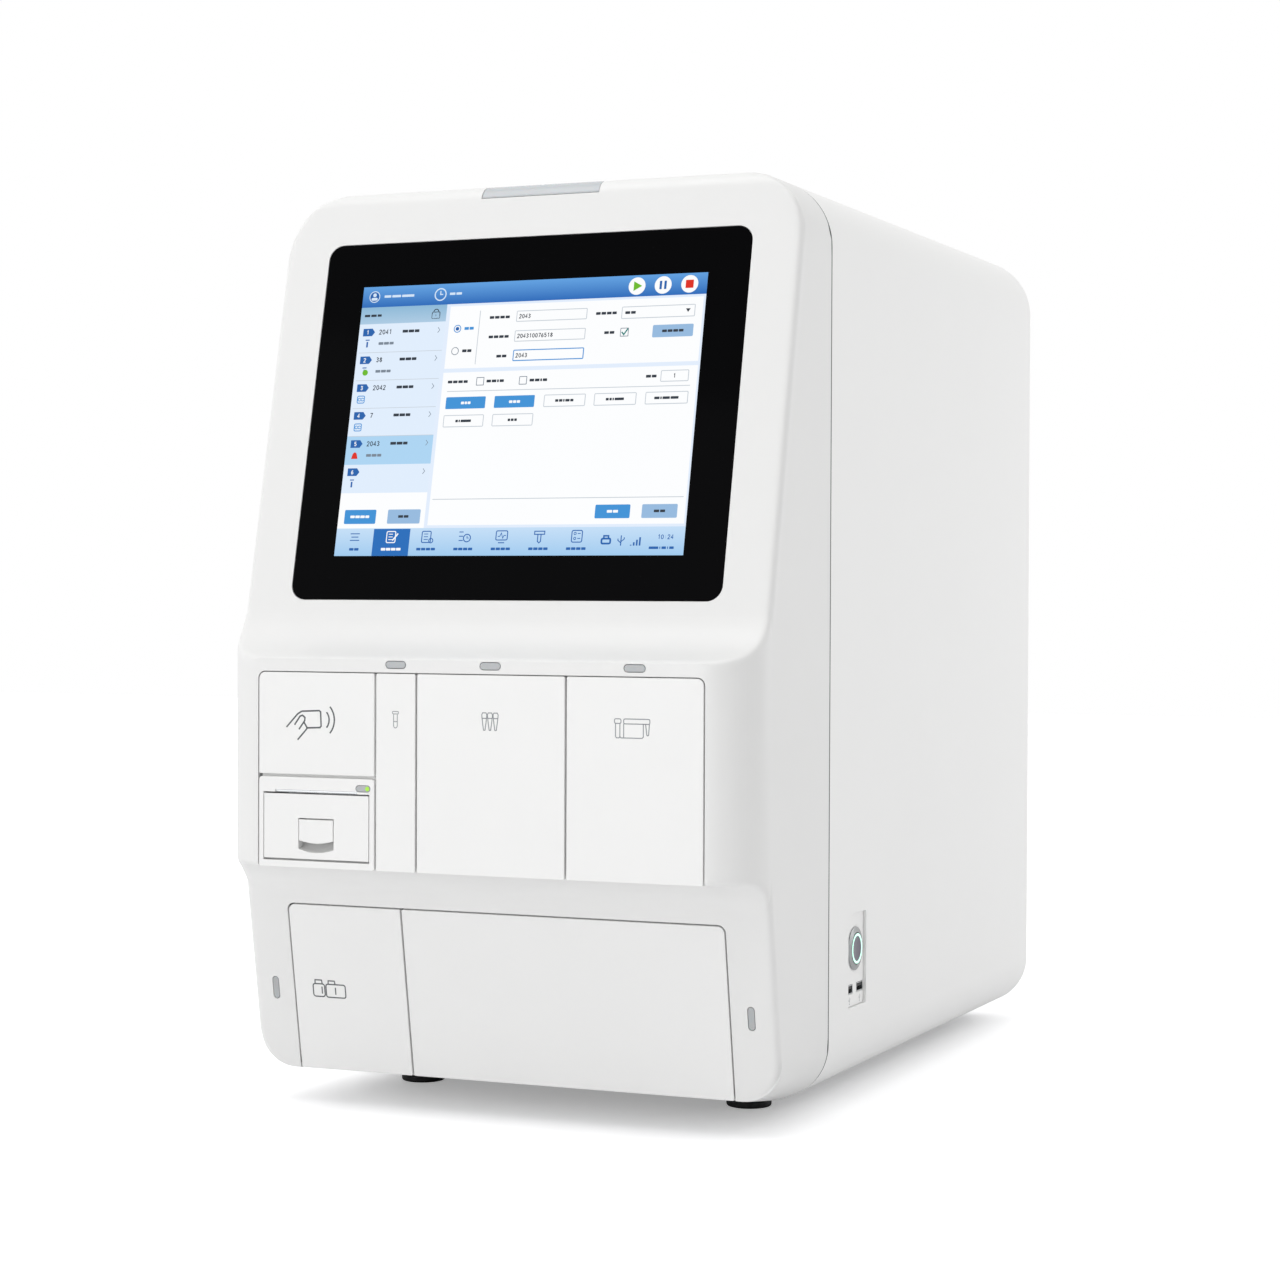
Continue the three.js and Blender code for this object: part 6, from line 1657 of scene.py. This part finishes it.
for node, (finish, bevel) in dressing.items():
    dressed(node, finish, bevel)
print("CAD pieces dressed:", len(dressing))

# Stage: pale floor, soft light and the camera. Lengths on the stage are in metres.

stageLook = {
    "floor": (246, 246, 247),
    "side": 12.0,
    "lift": 0.31,
    "ambient": 0.91,
    "shade": 0.92,
    "shadeFrom": (0.76, -0.65, 0.0),
    "shadePower": 4.0,
    "backdrop": 1.0,
}
lampLooks = {
    "topSoftbox": {"at": (-0.2, -0.9, 2.5), "toward": (0.0, -0.2, 0.3), "size": (2.0, 1.2), "power": 14.0},
    "rightSoftbox": {"at": (1.15, 0.85, 0.6), "toward": (0.18, 0.15, 0.35), "size": (0.5, 0.9), "power": 2.2},
    "leftSoftbox": {"at": (-1.2, -2.9, 1.1), "toward": (0.0, -0.2, 0.3), "size": (1.6, 1.6), "power": 3.8},
    "lowSoftbox": {"at": (-0.8, -3.0, 0.35), "toward": (0.0, -0.3, 0.15), "size": (1.6, 0.5), "power": 8.5},
}
camera = {
    "at": (0.78328, -1.894, 0.33697),
    "azimuth": 23.102 * degree,
    "pitch": 0.906 * degree,
    "roll": -0.22 * degree,
    "lens": 79.27,
    "sensor": 36.0,
}

# Floor: a flat grid of square faces
floorLines = np.linspace(-0.5, 0.5, 13) * stageLook["side"] / mm
floorX, floorY = np.meshgrid(floorLines, floorLines)
index = np.arange(floorX.size).reshape(floorX.shape)
floorFaces = np.stack([index[:-1, :-1], index[:-1, 1:], index[1:, 1:], index[1:, :-1]], -1).reshape(-1, 4)
floor = newShape("floor", form(np.stack([floorX, floorY, 0 * floorX], -1), floorFaces))
floorFinish, tree, shader = newFinish("floorFinish")
seenPath = addNode(tree, "LightPath", {})
lifted = {0: seenPath.outputs["Is Camera Ray"], 1: stageLook["lift"]}
lift = addNode(tree, "Math", lifted, operation="MULTIPLY")
feed(tree, shader, {
    "Base Color": linearColour(stageLook["floor"]),
    "Roughness": 0.6,
    "Specular IOR Level": 0.2,
    "Emission Color": (1, 1, 1, 1),
    "Emission Strength": lift.outputs["Value"],
})
floor.data.materials.append(floorFinish)

# Surround: ambient - shade * max(0, direction . shadeFrom) ^ shadePower; the plain backdrop where it is seen
world = bpy.data.worlds.new("studio")
scene.world = world
world.use_nodes = True
tree = world.node_tree
direction = addNode(tree, "TexCoord", {}).outputs["Generated"]
pair = {0: direction, 1: stageLook["shadeFrom"]}
facing = addNode(tree, "VectorMath", pair, operation="DOT_PRODUCT")
ahead = addNode(tree, "Math", {0: facing.outputs["Value"], 1: 0.0}, operation="MAXIMUM")
narrowed = addNode(tree, "Math", {0: ahead.outputs["Value"], 1: stageLook["shadePower"]}, operation="POWER")
dimming = {0: narrowed.outputs["Value"], 1: -stageLook["shade"], 2: stageLook["ambient"]}
dimmed = addNode(tree, "Math", dimming, operation="MULTIPLY_ADD")
rays = addNode(tree, "LightPath", {})
clearRays = {0: rays.outputs["Is Camera Ray"], 1: rays.outputs["Is Transmission Ray"]}
clear = addNode(tree, "Math", clearRays, operation="MAXIMUM")
strengths = {"A": dimmed.outputs["Value"], "B": stageLook["backdrop"], "Factor": clear.outputs["Value"]}
seen = addNode(tree, "Mix", strengths, data_type="FLOAT")
feed(tree, tree.nodes["Background"], {"Strength": seen.outputs["Result"], "Color": (1, 1, 1, 1)})


def placed(thing, side, upward, away, at):
    turned = np.eye(4)
    turned[:3] = np.column_stack([side, upward, away, at])
    thing.matrix_world = Matrix(turned.tolist())


for name, lampLook in lampLooks.items():
    light = bpy.data.lights.new(name, "AREA")
    light.shape = "RECTANGLE"
    light.size, light.size_y = lampLook["size"]
    light.energy = lampLook["power"]
    lamp = newObject(name, light)
    lamp.visible_camera = False
    away = np.subtract(lampLook["at"], lampLook["toward"])
    away /= np.linalg.norm(away)
    side = np.cross((0, 0, 1), away)
    side /= np.linalg.norm(side)
    placed(lamp, side, np.cross(away, side), away, lampLook["at"])

sinA, cosA = math.sin(camera["azimuth"]), math.cos(camera["azimuth"])
sinP, cosP = math.sin(camera["pitch"]), math.cos(camera["pitch"])
sinR, cosR = math.sin(camera["roll"]), math.cos(camera["roll"])
level = np.array([cosA, sinA, 0.0])
rise = np.array([-sinA * sinP, cosA * sinP, cosP])
back = np.array([sinA * cosP, -cosA * cosP, sinP])
lens = bpy.data.cameras.new("camera")
lens.lens = camera["lens"]
lens.sensor_width = camera["sensor"]
lens.clip_end = 100.0
eye = newObject("camera", lens)
placed(eye, cosR * level - sinR * rise, sinR * level + cosR * rise, back, camera["at"])
scene.camera = eye
scene.view_settings.view_transform = "Standard"
print("stage set")
